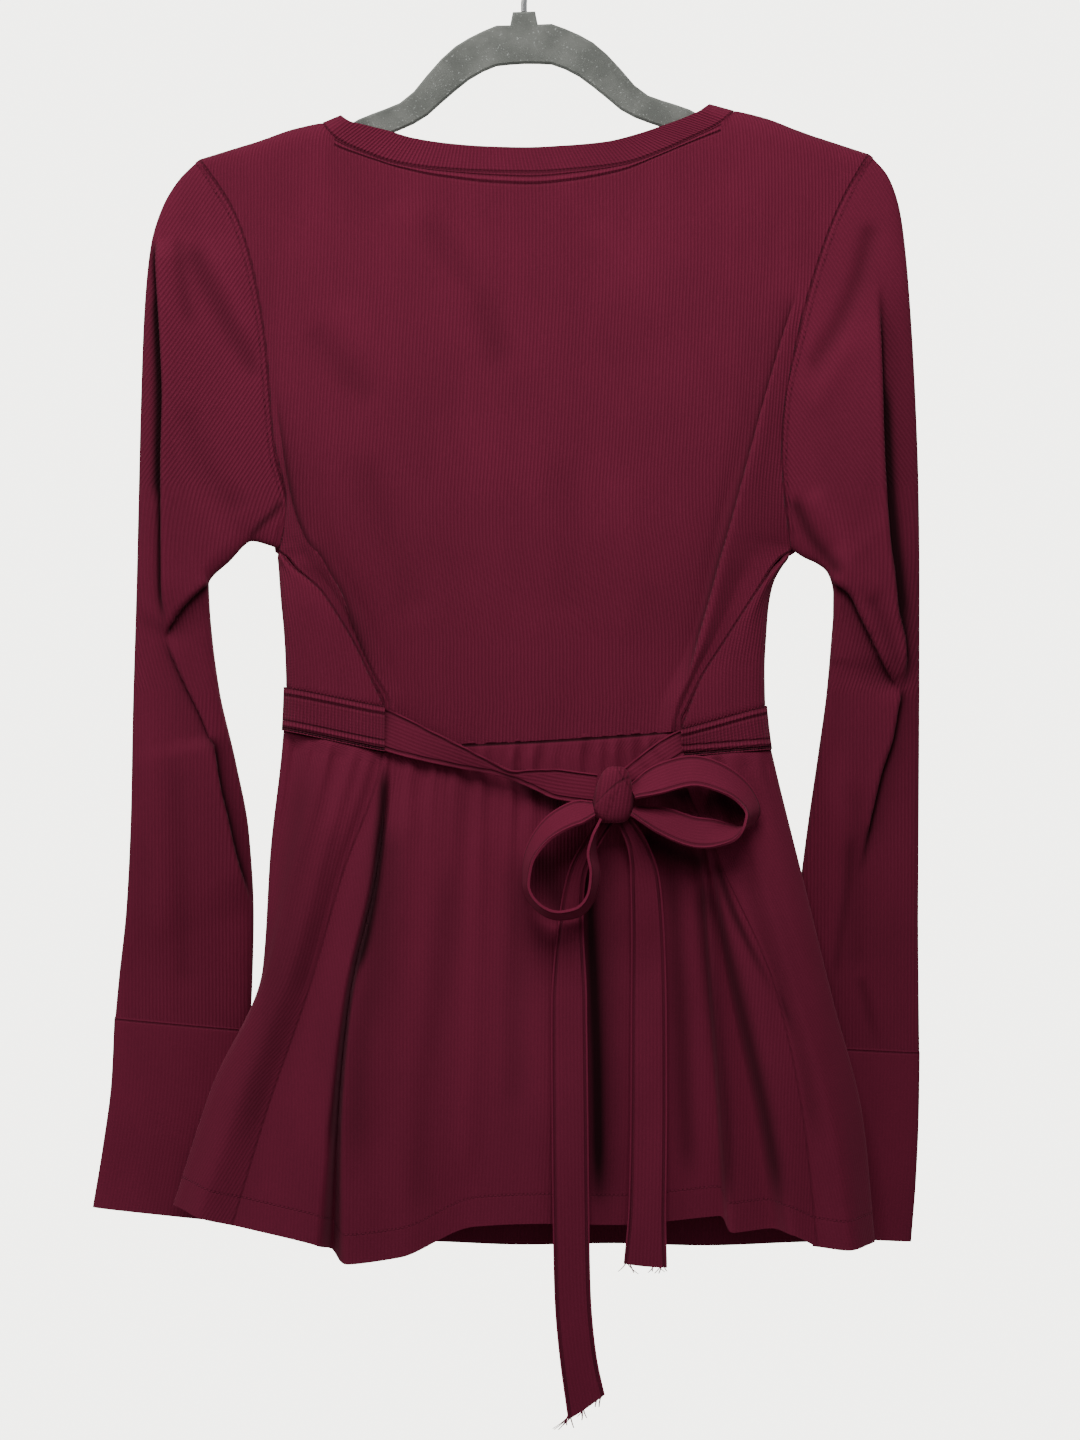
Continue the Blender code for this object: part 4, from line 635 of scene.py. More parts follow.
def path_distance(x, z, path):
    """Distance of points from a path, above zero on its left side going down, the
    share of the path there, and the direction towards that side."""
    best = np.full(x.shape, 1e9)
    signed, where = np.zeros(x.shape), np.zeros(x.shape)
    over_x, over_z = np.zeros(x.shape), np.zeros(x.shape)
    for index in range(len(path) - 1):
        (ax, az), (bx, bz) = path[index], path[index + 1]
        dx, dz = bx - ax, bz - az
        length = math.hypot(dx, dz)
        t = np.clip(((x - ax) * dx + (z - az) * dz) / (length * length), 0, 1)
        away = np.hypot(x - ax - t * dx, z - az - t * dz)
        side = np.where(dx * (z - az) - dz * (x - ax) > 0, 1.0, -1.0)
        nearer = away < best
        best = np.where(nearer, away, best)
        signed = np.where(nearer, away * side, signed)
        where = np.where(nearer, (index + t) / (len(path) - 1), where)
        over_x = np.where(nearer, -dz / length, over_x)
        over_z = np.where(nearer, dx / length, over_z)
    return signed, where, over_x, over_z


def relief(grid, table, toward=1.0):
    """Raise a cloth's folds towards the viewer, draw each lap's edge over what lies under it,
    and give back the painted shade of each point: darker in hollows, slits and under laps,
    a little lighter, a painted highlight, on raised ridges and lap edges."""
    x, z = grid[..., 0], grid[..., 2]
    height, slide_x, slide_z, painted_shade = (np.zeros(x.shape) for _ in range(4))
    for rise, width, reach, shade, path in table:
        signed, where, over_x, over_z = path_distance(x, z, smooth_path(path))
        ends = np.clip(np.minimum(where, 1.0 - where) / FADE_IN, 0, 1)
        ends = ends * ends * (3 - 2 * ends)
        if not reach:
            shape = np.exp(-(signed / width) ** 2)
            # Painted shade in a hollow; a raised ridge gets a painted highlight instead
            painted_shade += (shade - 0.05 * max(rise, 0)) * shape * ends
        else:
            up = 0.5 + 0.5 * np.tanh(signed / LAP_SOFT)
            above = np.exp(-np.maximum(signed, 0) / reach)
            below = np.exp(np.minimum(signed, 0) / width)
            shape = up * above - 0.35 * (1 - up) * below
            slide = LAP_OVER * ((1 - up) * below - up * np.exp(-np.maximum(signed, 0) / 6)) * ends
            slide_x += slide * over_x * toward
            slide_z += slide * over_z * toward
            # Painted shadow in the slit beside the lap's edge and under the lap, and a painted highlight
            # along its raised edge
            painted_shade += shade * ends * (0.7 * np.exp(-((signed + 1.3) / 2.0) ** 2)
                                    + 0.6 * (1 - up) * below - 0.1 * up * np.exp(-signed ** 2 / 9))
        height += rise * shape * ends
    grid[..., 0] += slide_x
    grid[..., 1] -= height * toward
    grid[..., 2] += slide_z
    return np.minimum(painted_shade, 0.9) * np.maximum(toward, 0)


def border(grid, edge):
    """A grid's outermost line at one edge and the line beside it."""
    return {"top": (grid[0], grid[1]), "bottom": (grid[-1], grid[-2]),
            "left": (grid[:, 0], grid[:, 1]), "right": (grid[:, -1], grid[:, -2])}[edge]


def joined(grid, line, edge):
    """The grid with one more line at an edge."""
    line = line[None] if edge in ("top", "bottom") else line[:, None]
    pair = (line, grid) if edge in ("top", "left") else (grid, line)
    return np.concatenate(pair, axis=0 if edge in ("top", "bottom") else 1)


def tucked(grid, edges, out, inward, side, ring=False):
    """The grid with a border that goes on under its neighbour at each edge named."""
    for edge in edges:
        normal, _ = border(surface_normals(grid, ring) * side, edge)
        last, before = border(grid, edge)
        ahead = last - before
        ahead = ahead / np.maximum(np.linalg.norm(ahead, axis=1, keepdims=True), 1e-9)
        grid = joined(grid, last + ahead * out - normal * inward, edge)
    return grid


def capped(grid, side):
    """A body panel with a row more: its shoulder closed, its neck under the band."""
    row = []
    for x, y, z in grid[0]:
        open_ = min(neck_distance(x, z) / SHOULDER_ROLL, 1.0)
        row.append((x, 0.05 * side * (1 - open_) + (y - side * 1.3) * open_, z - 0.3 + 3.3 * open_))
    return np.concatenate([np.array(row)[None], grid])


def lengths(grid, ring=False, tucks=(0, 0)):
    """Distances along the rows from the middle column, and down the columns from
    the first row that shows."""
    wide = np.concatenate([grid, grid[:, :1]], axis=1) if ring else grid
    across = np.linalg.norm(np.diff(wide, axis=1), axis=2)
    across = np.concatenate([np.zeros((len(wide), 1)), np.cumsum(across, axis=1)], axis=1)
    if not ring:
        across -= across[:, across.shape[1] // 2][:, None]
    down = np.linalg.norm(np.diff(wide, axis=0), axis=2)
    down = np.concatenate([np.zeros((1, wide.shape[1])), np.cumsum(down, axis=0)], axis=0)
    return across, down - down[tucks[0]][None]


def wall(name, grid, thickness, look, node, ring=False, ribs=None, painted_shade=None, tucks=(0, 0)):
    """Closed wall of cloth round a grid of points, with its lengths and its painted shade kept as maps.
    tucks counts the rows at its top and bottom, then sides, that lie under a neighbour."""
    normal = surface_normals(grid, ring)
    rows, columns = grid.shape[:2]
    half = thickness / 2
    points = np.concatenate([(grid + normal * half).reshape(-1, 3),
                             (grid - normal * half).reshape(-1, 3)]) * MM
    under = rows * columns
    index = np.arange(under).reshape(rows, columns)
    spots = np.arange(rows * (columns + ring)).reshape(rows, columns + ring)
    wide = np.hstack([index, index[:, :1]]) if ring else index

    def quads(table, low, high):
        sheets = np.stack([table[:-1, :-1], table[:-1, 1:], table[1:, 1:], table[1:, :-1]], -1)
        rims = [np.stack([table[r, 1:] + low, table[r, :-1] + low, table[r, :-1] + high,
                          table[r, 1:] + high], -1)[::1 if r == 0 else -1] for r in (0, rows - 1)]
        if not ring:
            rims += [np.stack([table[:-1, c] + low, table[1:, c] + low, table[1:, c] + high,
                               table[:-1, c] + high], -1) for c in (0, columns - 1)]
        sheets = sheets.reshape(-1, 4)
        return np.concatenate([sheets + low, sheets[:, ::-1] + high] + rims)

    faces = quads(wide, 0, under)
    corners = quads(spots, 0, 0).reshape(-1)
    mesh = bpy.data.meshes.new(name)
    mesh.from_pydata(points.tolist(), [], faces.tolist())
    across, down = lengths(grid, ring, tucks)
    if ribs is not None:
        across = np.concatenate([ribs, ribs[:, :1]], axis=1) if ring else ribs
    first, last = across[:, tucks[-1]][:, None], across[:, -1 - tucks[-1]][:, None]
    side = np.minimum(across - first, last - across) if not ring else across
    below = down[-1 - tucks[1]][None] - down
    painted_shade = np.zeros(grid.shape[:2]) if painted_shade is None else painted_shade
    painted_shade = np.concatenate([painted_shade, painted_shade[:, :1]], axis=1) if ring else painted_shade
    # The third map carries the painted shade of the folds
    for layer, left, right in (("cloth", across * MM, down * MM), ("edge", side * MM, below * MM),
                               ("fold", painted_shade, painted_shade)):
        values = np.stack([left.reshape(-1), right.reshape(-1)], -1)[corners]
        mesh.uv_layers.new(name=layer).data.foreach_set("uv", values.reshape(-1))
    shape = bmesh.new()
    shape.from_mesh(mesh)
    bmesh.ops.recalc_face_normals(shape, faces=shape.faces)
    if shape.calc_volume(signed=True) < 0:
        bmesh.ops.reverse_faces(shape, faces=shape.faces)
    shape.to_mesh(mesh)
    shape.free()
    mesh.materials.append(look)
    mesh.shade_smooth()
    mesh.set_sharp_from_angle(angle=SHARP_TURN)
    thing = bpy.data.objects.new(name, mesh)
    bpy.context.scene.collection.objects.link(thing)
    place(thing, "rib_knit_burgundy", node)
    return thing


def place(thing, slot, *nodes):
    """Put a piece on the one body, in place of its nodes."""
    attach(thing, "root")
    if nodes:
        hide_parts(*nodes)
    return thing


def waistband_grid():
    """Front band whose ends are drawn round onto the back, where the ties start."""
    counts = (4, 2, 2, 3, 6, 6, 3, 2, 2, 4)
    front = 8.6
    grid = []
    for share in (0.0, 0.5, 1.0):
        levels = [a + (b - a) * share for a, b in zip(BAND_TOP, BAND_BOTTOM)]
        left, right = at(BODY_SIDES, levels[2])
        places = [
            (BAND_ENDS[0], BAND_END_DEPTH), (left + 7.0, BAND_END_DEPTH + 2.5), (left - 1.0, -2.4),
            (left + 6.0, front - 1.4), (left + 30.0, front), (0.0, front + 0.4),
            (right - 30.0, front), (right - 6.0, front - 1.4), (right + 1.0, -2.4),
            (right - 7.0, BAND_END_DEPTH + 2.5), (BAND_ENDS[1], BAND_END_DEPTH)]
        stations = [(x, y, round_level(levels, x, index < 2 or index > 8))
                    for index, (x, y) in enumerate(places)]
        grid.append(spread(np.array(stations), counts))
    return np.array(grid)


def skirt_seam(number, height):
    """x and y of a skirt side seam at a height."""
    seam = SKIRT_SEAM_LEFT if number == 0 else SKIRT_SEAM_RIGHT
    return at(seam, height)


def skirt_grid(table, outward, finer, levels):
    """Skirt panel from its table of folds, with gathers that fade below the waist."""
    counts = [row[-1] * finer for row in table][:-1]
    marks = np.concatenate([[0]] + [i + (np.arange(c) + 1) / c for i, c in enumerate(counts)])
    grid = []
    for share in levels:
        stations = []
        for number, (xs, ys, top_z, hem_z, _) in enumerate(table):
            on_right = number > len(table) / 2
            if top_z is None and xs is not None:
                x, y = through(SKIRT_LEVELS, list(zip(xs, ys)), [0.0])[0]
                top_z = round_level(BAND_BOTTOM, x, y < -5.0) - 2 * SEAM
            elif top_z is None:
                top_z = BAND_BOTTOM[4 if on_right else 0] - 2 * SEAM
            z = top_z + (hem_z - top_z) * share
            if xs is None:
                seam_top = SKIRT_SEAM_RIGHT[0][0] if on_right else SKIRT_SEAM_LEFT[0][0]
                z = min(seam_top + (hem_z - seam_top) * share, top_z - 60.0 * share)
                x, y = skirt_seam(number, z)
                x += outward * (SEAM if on_right else -SEAM)
            else:
                x, y = through(SKIRT_LEVELS, list(zip(xs, ys)), [share])[0]
            stations.append((x, y, z))
        line = spread(np.array(stations), counts)
        if not grid:
            away = np.concatenate([[0], np.cumsum(np.hypot(*np.diff(line[:, :2], axis=0).T))])
        room = np.clip((np.abs(np.gradient(line[:, 0])) * finer - 1.6) / 1.5, 0, 1)
        ends = np.clip(np.minimum(marks, marks[-1] - marks) / 0.3, 0, 1)
        start = min(share / 0.03, 1.0)
        wave = sum(high * np.sin(away * pace + bend * np.sin(away * slow + shift)) * math.exp(-share / fade)
                   for high, pace, bend, slow, shift, fade in GATHERS)
        line[:, 1] += wave * room * ends * start
        grid.append(line)
    return np.array(grid)


def tube_grid(table, columns, rows, side=0):
    """Flattened tube through rings, each set by its outer and inner points, and how
    much each point faces the viewer."""
    places = np.linspace(0, len(table) - 1, rows)
    rings = through(range(len(table)), [row for row in table], places)
    grid = np.zeros((rows, columns, 3))
    facing = np.zeros((rows, columns))
    for number, (ox, oz, ix, iz, middle, depth) in enumerate(rings):
        bow = max(0.0, 1.0 - places[number] / 4.0) ** 1.5 if side else 0.0
        for step in range(columns):
            angle = 2 * math.pi * step / columns
            flat = squared_cosine(angle)
            swell = math.copysign(abs(math.sin(angle)) ** 0.55, math.sin(angle))
            x = (ox + ix) / 2 + (ox - ix) / 2 * flat
            z = (oz + iz) / 2 + (oz - iz) / 2 * flat
            y = middle - depth * swell
            if side:
                tip, low = armhole_table(side)[0], armhole_table(side)[-1]
                z_seam = tip[1] + (low[1] - tip[1]) * (1.0 - flat) / 2
                x_seam, flat_seam = at_height(armhole_table(side), z_seam)
                chord = tip[0] * (1 + flat) / 2 + low[0] * (1 - flat) / 2
                x += (x_seam - chord) * bow
                if places[number] < 0.001:
                    x, z = x_seam + side * SEAM, z_seam
                    depth_here = rolled(0.0, flat_seam, tip[1] - z_seam)
                    y = -depth_here * math.copysign(1.0, swell) if abs(swell) > 0.01 else 0.0
            grid[number, step] = (x, y, z)
            facing[number, step] = swell
    return grid, facing


def neckband_grid(back_row, front_row):
    """Ribbed band whose seam follows the top rows of the two body panels."""
    seam, edge = [], []
    inside = [p for p in back_row if NECK_LEFT - 0.01 < p[0] < NECK_RIGHT - 0.01]
    round_front = [p for p in front_row[::-1] if NECK_LEFT + 0.01 < p[0] < NECK_RIGHT + 0.01]
    for points, table in ((inside, NECKBAND_BACK), (round_front, NECKBAND_FRONT)):
        for x, y, z in points:
            edge_x, edge_z = at(table, x)
            toward = np.array([edge_x - x, edge_z - z])
            toward = toward / np.linalg.norm(toward)
            flat = flat_depth(z)[0 if table is NECKBAND_BACK else 1]
            y = rolled(0.0, flat, neck_distance(x, z))
            seam.append((x + toward[0] * 2 * SEAM, y, z + toward[1] * 2 * SEAM))
            edge.append((edge_x, y, edge_z))
    seam, edge = np.array(seam), np.array(edge)
    return np.array([seam, (seam + edge) / 2, edge])


def ribbon_grid(path, across, widths, per_step, columns):
    """Flat ribbon swept along a path, its width along the given directions."""
    count = (len(path) - 1) * per_step + 1
    places = np.linspace(0, len(path) - 1, count)
    lines = softened_line(through(range(len(path)), path, places), per_step)
    across = softened_line(through(range(len(path)), across, places), per_step)
    widths = through(range(len(path)), widths, places)
    grid = []
    for index, (spot, wide, width) in enumerate(zip(lines, across, widths)):
        ahead = lines[min(index + 1, count - 1)] - lines[max(index - 1, 0)]
        ahead = ahead / np.linalg.norm(ahead)
        wide = wide - ahead * np.dot(wide, ahead)
        wide = wide / np.linalg.norm(wide)
        grid.append([spot + wide * width * (c / (columns - 1) - 0.5) for c in range(columns)])
    return np.array(grid)


def softened_line(line, passes):
    """A line with its sharp turns evened out, its ends kept."""
    line = np.array(line)
    for _ in range(passes):
        line[1:-1] = line[1:-1] / 2 + (line[2:] + line[:-2]) / 4
    return line


def flat_across(table):
    """Width directions of a ribbon that faces the viewer but for the turn in its table."""
    across = []
    for index, row in enumerate(table):
        before, after = table[max(index - 1, 0)], table[min(index + 1, len(table) - 1)]
        dx, dz = after[0] - before[0], after[2] - before[2]
        length = math.hypot(dx, dz)
        turn = math.radians(row[4])
        across.append((-dz / length * math.cos(turn), -math.sin(turn), dx / length * math.cos(turn)))
    return across


def near_edges(grid, lines, sides=True):
    """Share that grows from 0 at a grid's edges to 1 some lines inside them."""
    rows, columns = grid.shape[:2]
    down = np.minimum(np.arange(rows), rows - 1 - np.arange(rows))[:, None]
    across = np.minimum(np.arange(columns), columns - 1 - np.arange(columns))[None]
    share = np.minimum(down, across if sides else lines) / lines
    return np.clip(share, 0, 1) * np.ones((rows, columns))


def pressed(grid):
    """A tie's ribbon with a slow wave along it and its edges turned back a little."""
    rows, columns = grid.shape[:2]
    along = np.arange(rows)[:, None] / rows
    across = np.linspace(-1, 1, columns)[None]
    grid[..., 1] -= 0.5 * np.sin(along * 23 + across * 1.1) * np.sin(along * math.pi)
    grid[..., 1] += 0.35 * across ** 4
    return grid


def wound_knot(columns, rows):
    """Knot of ribbon wound round itself: a wide turn with one that crosses its top, with painted shade in
    its grooves and towards its sides.
    """
    polar = np.linspace(0.004, math.pi - 0.004, rows)[:, None]
    angle = (np.arange(columns) / columns * 2 * math.pi)[None]
    side = np.sign(np.cos(angle)) * np.abs(np.cos(angle)) ** 0.8
    deep = np.sign(np.sin(angle)) * np.abs(np.sin(angle)) ** 0.8
    z = KNOT_HALF[2] * np.cos(polar) * np.ones_like(angle)
    round_it = np.sin(polar) ** 0.5 * (1.0 - 0.22 * np.cos(polar))
    x, y = KNOT_HALF[0] * round_it * side, KNOT_HALF[1] * np.sin(polar) ** 0.5 * deep
    front = np.clip(-y / KNOT_HALF[1], 0, 1) ** 0.5
    # Painted shade towards the knot's sides, where it turns away
    painted_shade = 0.3 * np.abs(x / KNOT_HALF[0]) ** 6
    swell = np.ones_like(x)
    for sharp, depth, shade, fall in KNOT_FOLDS_AND_SHADE:
        crossing = z - fall[0] - fall[1] * x + fall[2] * x * x
        groove = np.exp(-(crossing / sharp) ** 2) * front
        step = (0.5 + 0.5 * np.tanh(crossing / sharp)) * front
        swell -= 0.035 * groove + depth * step
        # Painted shade in the groove of each fold
        painted_shade += shade * groove
    grid = np.stack([KNOT_CENTRE[0] + x * swell + 0.08 * z, KNOT_CENTRE[1] + y * swell,
                     KNOT_CENTRE[2] + z], -1)
    return grid, painted_shade


def cut_end(grid, slant, last):
    """A tie whose cut end runs slanting, its far corner higher."""
    rows, columns = grid.shape[:2]
    across = np.linspace(-0.5, 0.5, columns)[None]
    share = (np.clip(np.arange(rows) - (rows - last), 0, last) / last)[:, None]
    grid[..., 2] += slant * across * share * share - 0.6 * np.cos(across * 3) * share
    return grid


def away_from_middle(path):
    """Directions from a loop's middle to the points of its path."""
    out = np.array(path) - np.mean(path, axis=0)
    out[:, 1] = 0.0
    return out / np.linalg.norm(out, axis=1, keepdims=True)


def loose_threads(look):
    """Short ends of thread that hang from the cut ends of both ties."""
    draw = random.Random(7)
    steps, sides = 6, 5
    turns = 2 * math.pi * np.arange(sides) / sides
    ring = np.stack([np.cos(turns), np.sin(turns), np.zeros(sides)], -1) * THREAD / 2
    points, faces = [], []
    for x, y, z, longest, count in THREAD_ENDS:
        for _ in range(count):
            start = np.array((x + draw.uniform(-1.5, 1.5), y, z + 3.0))
            way = np.array((draw.uniform(-0.7, 0.7), draw.uniform(-0.3, 0.1), -1.0))
            bend = draw.uniform(-0.6, 0.6)
            length = 3.0 + longest * draw.uniform(0.35, 1.0)
            first = len(points)
            for t in np.arange(steps + 1) / steps:
                middle = start + way * length * t + np.array((bend * length * t * t, 0, 0))
                points += list(middle + ring * (1 - 0.3 * t))
            for a in range(first, first + steps * sides, sides):
                for side in range(sides):
                    beside = (side + 1) % sides
                    faces.append((a + side, a + beside, a + beside + sides, a + side + sides))
            faces.append(tuple(range(first + sides - 1, first - 1, -1)))
            faces.append(tuple(range(first + steps * sides, first + (steps + 1) * sides)))
    mesh = bpy.data.meshes.new("loose_threads")
    mesh.from_pydata([tuple(p * MM) for p in points], [], faces)
    for layer in ("cloth", "edge", "fold"):
        plain = np.zeros(len(mesh.loops) * 2)
        mesh.uv_layers.new(name=layer).data.foreach_set("uv", plain)
    mesh.materials.append(look)
    thing = bpy.data.objects.new("loose_threads", mesh)
    bpy.context.scene.collection.objects.link(thing)
    return thing


def met(grid, x, z_first, z_last, depth):
    """A strap whose start is drawn to the end of the waistband."""
    for row in range(14):
        share = (1.0 - row / 14.0) ** 2
        heights = np.linspace(z_first, z_last, grid.shape[1])
        grid[row, :, 0] += (x - grid[row, :, 0]) * share
        grid[row, :, 1] += (depth - grid[row, :, 1]) * share
        grid[row, :, 2] += (heights - grid[row, :, 2]) * share
    return grid


def leaning(path, leans):
    """Width directions of a loop whose near edge leans towards its middle."""
    middle = np.mean(path, axis=0)
    across = []
    for spot, lean in zip(path, leans):
        inward = np.array((middle[0] - spot[0], 0.0, middle[2] - spot[2]))
        across.append(inward / np.linalg.norm(inward) * lean + np.array((0.0, -1.0, 0.0)))
    return across


class Nodes:
    """Short way to build a material's nodes."""

    def __init__(self, name, colour, roughness):
        self.material = bpy.data.materials.new(name)
        self.material.use_nodes = True
        self.tree = self.material.node_tree
        self.shader = self.tree.nodes["Principled BSDF"]
        self.shader.inputs["Base Color"].default_value = colour
        self.shader.inputs["Roughness"].default_value = roughness
        self.material.diffuse_color = colour

    def add(self, kind, **values):
        """One node, with its settings by name."""
        node = self.tree.nodes.new(kind)
        for key, value in values.items():
            setattr(node, key, value)
        return node

    def link(self, source, target):
        """Link two sockets, or set a plain value."""
        if isinstance(source, (int, float, tuple)):
            target.default_value = source
        else:
            self.tree.links.new(source, target)

    def maths(self, operation, *values):
        """Socket of a math node."""
        node = self.add("ShaderNodeMath", operation=operation)
        for index, value in enumerate(values):
            self.link(value, node.inputs[index])
        return node.outputs[0]

    def times(self, first, second):
        """Socket of a product."""
        return self.maths("MULTIPLY", first, second)

    def tinted(self, shade, mask, share):
        """A shade made lighter by a share, or darker, where a mask is 1."""
        return self.times(shade, self.maths("MULTIPLY_ADD", mask, share, 1.0))

    def ranged(self, value, low, high, to_low, to_high):
        """Value moved from one range to another and held inside it."""
        node = self.add("ShaderNodeMapRange", interpolation_type="SMOOTHSTEP")
        for index, item in enumerate((value, low, high, to_low, to_high)):
            self.link(item, node.inputs[index])
        return node.outputs[0]

    def noise(self, place, scale, detail=3.0, stretch=None):
        """Socket of a noise from 0 to 1."""
        node = self.add("ShaderNodeTexNoise")
        node.inputs["Scale"].default_value = scale
        node.inputs["Detail"].default_value = detail
        if stretch:
            mapping = self.add("ShaderNodeMapping")
            mapping.inputs["Scale"].default_value = stretch
            self.link(place, mapping.inputs["Vector"])
            place = mapping.outputs["Vector"]
        self.link(place, node.inputs["Vector"])
        return node.outputs["Fac"]

    def mix(self, share, first, second, blend="MIX"):
        """Colour between two colours."""
        node = self.add("ShaderNodeMix", data_type="RGBA", blend_type=blend)
        self.link(share, node.inputs["Factor"])
        self.link(first, node.inputs["A"])
        self.link(second, node.inputs["B"])
        return node.outputs["Result"]

    def bump(self, height, distance, strength=1.0, under=None):
        """Normal from a height."""
        node = self.add("ShaderNodeBump")
        node.inputs["Distance"].default_value = distance
        node.inputs["Strength"].default_value = strength
        self.link(height, node.inputs["Height"])
        if under is not None:
            self.link(under, node.inputs["Normal"])
        return node.outputs["Normal"]


def knit(name, contrast, depth, lines=()):
    """Rib knit: ribs along the cloth with painted shade in their grooves, stitches and fuzz, the painted
    shade of the folds, and sewing.
    """
    made = Nodes(name, BURGUNDY, 0.88)
    made.shader.inputs["Sheen Weight"].default_value = 0.14
    made.shader.inputs["Sheen Roughness"].default_value = 0.4
    made.shader.inputs["Sheen Tint"].default_value = SHEEN
    made.shader.inputs["Specular IOR Level"].default_value = 0.12
    parts = {}
    for key in ("cloth", "edge", "fold"):
        split = made.add("ShaderNodeSeparateXYZ")
        made.link(made.add("ShaderNodeUVMap", uv_map=key).outputs[0], split.inputs[0])
        parts[key] = split.outputs
    place = made.add("ShaderNodeTexCoord").outputs["Object"]
    spot = made.add("ShaderNodeSeparateXYZ")
    made.link(place, spot.inputs[0])
    wander = made.times(made.noise(place, 90.0, 1.0), 1.1)
    ribs_at = made.maths("MULTIPLY_ADD", parts["cloth"][0], 2 * math.pi / (RIB * MM), wander)
    ribs = made.maths("MULTIPLY_ADD", made.maths("COSINE", ribs_at), 0.5, 0.5)
    rows_at = made.times(parts["cloth"][1], 2 * math.pi / (STITCH * MM))
    rows = made.maths("MULTIPLY_ADD", made.maths("COSINE", rows_at), 0.5, 0.5)
    fuzz = made.noise(place, 1500.0, 2.0)
    blotch = made.noise(place, 13.0, 3.0)
    wear = made.noise(place, 45.0, 4.0, (1.0, 1.0, 0.35))
    height = made.maths("MULTIPLY_ADD", rows, 0.16, ribs)
    height = made.maths("MULTIPLY_ADD", fuzz, 0.35, height)
    # Painted shade in the grooves between the ribs, as much as the contrast says
    shade = made.maths("MULTIPLY_ADD", ribs, contrast, 1.0 - contrast / 2)
    for source, reach in ((blotch, 0.045), (wear, 0.03), (fuzz, 0.08)):
        shade = made.times(shade, made.ranged(source, 0.28, 0.72, 1 - reach, 1 + reach))
    # Painted shade of the folds, from the third map
    shade = made.times(shade, made.maths("SUBTRACT", 1.0, parts["fold"][0]))
    normal = made.bump(height, depth * MM, 1.0)
    for layer, part, distance, kind, *limits in lines:
        wide, darker, lighter, deep, strength = LINE_KINDS[kind]
        away = made.maths("ABSOLUTE", made.maths("SUBTRACT", parts[layer][part], distance * MM))
        inside = 1.0
        if limits:
            inside = made.times(made.maths("GREATER_THAN", spot.outputs[0], limits[0] * MM),
                                made.maths("LESS_THAN", spot.outputs[0], limits[1] * MM))
        sunk, raised = made.times(made.ranged(away, 0.0002, wide * MM, 1.0, 0.0), inside), 0.0
        if kind == "ridge":
            raised = sunk
            sunk = made.times(made.ranged(away, 0.0012, 0.0022, 0.0, 1.0),
                              made.ranged(away, 0.0022, 0.0034, 1.0, 0.0))
            sunk = made.times(sunk, inside)
        elif kind == "piped":
            raised = made.ranged(parts[layer][part], 0.0005, 0.0015, 1.0, 0.0)
        elif kind in ("sewn", "fine"):
            along = parts["cloth"][1 if (layer, part) == ("edge", 0) else 0]
            dash = made.maths("FRACT", made.times(along, 1 / (STITCH_LENGTH * MM)))
            dash = made.maths("ABSOLUTE", made.maths("SUBTRACT", dash, 0.5))
            raised = made.times(made.ranged(dash, 0.28, 0.42, 1.0, 0.0),
                                made.ranged(away, 0.0002, 0.0006, 1.0, 0.0))
            raised = made.times(raised, inside)
            sunk = made.times(sunk, made.maths("MULTIPLY_ADD", dash, 0.6, 0.45))
        # Dark seam lines, painted shade beside ridges and under the bodice's edge, painted highlights on
        # ridges and rims, and lighter stitches
        shade = made.tinted(made.tinted(shade, sunk, -darker), raised, lighter)
        normal = made.bump(made.maths("SUBTRACT", raised, sunk), deep * MM, strength, normal)
    tone = made.add("ShaderNodeCombineColor")
    for socket in tone.inputs[:3]:
        made.link(shade, socket)
    colour = made.mix(1.0, BURGUNDY, tone.outputs[0], "MULTIPLY")
    made.link(colour, made.shader.inputs["Base Color"])
    made.link(normal, made.shader.inputs["Normal"])
    return made.material


def velvet():
    """Flocked velvet with paler flecks of dust."""
    made = Nodes("hanger_velvet_look", VELVET, 0.95)
    made.shader.inputs["Sheen Weight"].default_value = 0.5
    made.shader.inputs["Sheen Roughness"].default_value = 0.5
    made.shader.inputs["Sheen Tint"].default_value = (0.62, 0.7, 0.68, 1.0)
    made.shader.inputs["Specular IOR Level"].default_value = 0.1
    place = made.add("ShaderNodeTexCoord").outputs["Object"]
    pile = made.noise(place, 2600.0, 2.0)
    nap = made.noise(place, 60.0, 5.0)
    flecks = made.ranged(made.noise(place, 900.0, 1.0), 0.68, 0.74, 0.0, 0.55)
    colour = made.mix(made.ranged(nap, 0.3, 0.7, 0.0, 1.0), VELVET, VELVET_LIGHT)
    colour = made.mix(flecks, colour, (0.5, 0.54, 0.52, 1.0))
    made.link(colour, made.shader.inputs["Base Color"])
    made.link(made.bump(pile, 0.0006, 0.8), made.shader.inputs["Normal"])
    return made.material


def steel():
    """Bright drawn wire with faint scratches along it."""
    made = Nodes("hook_steel_look", STEEL, 0.24)
    made.shader.inputs["Metallic"].default_value = 1.0
    place = made.add("ShaderNodeTexCoord").outputs["Object"]
    scratches = made.noise(place, 700.0, 3.0, (1.0, 1.0, 0.15))
    made.link(made.ranged(scratches, 0.3, 0.7, 0.16, 0.36), made.shader.inputs["Roughness"])
    made.link(made.bump(scratches, 0.0001, 0.4), made.shader.inputs["Normal"])
    return made.material


BURGUNDY = (0.138, 0.0126, 0.0366, 1.0)
SHEEN = (0.78, 0.25, 0.37, 1.0)
VELVET = (0.134, 0.143, 0.134, 1.0)
VELVET_LIGHT = (0.2, 0.211, 0.198, 1.0)
STEEL = (0.62, 0.63, 0.64, 1.0)
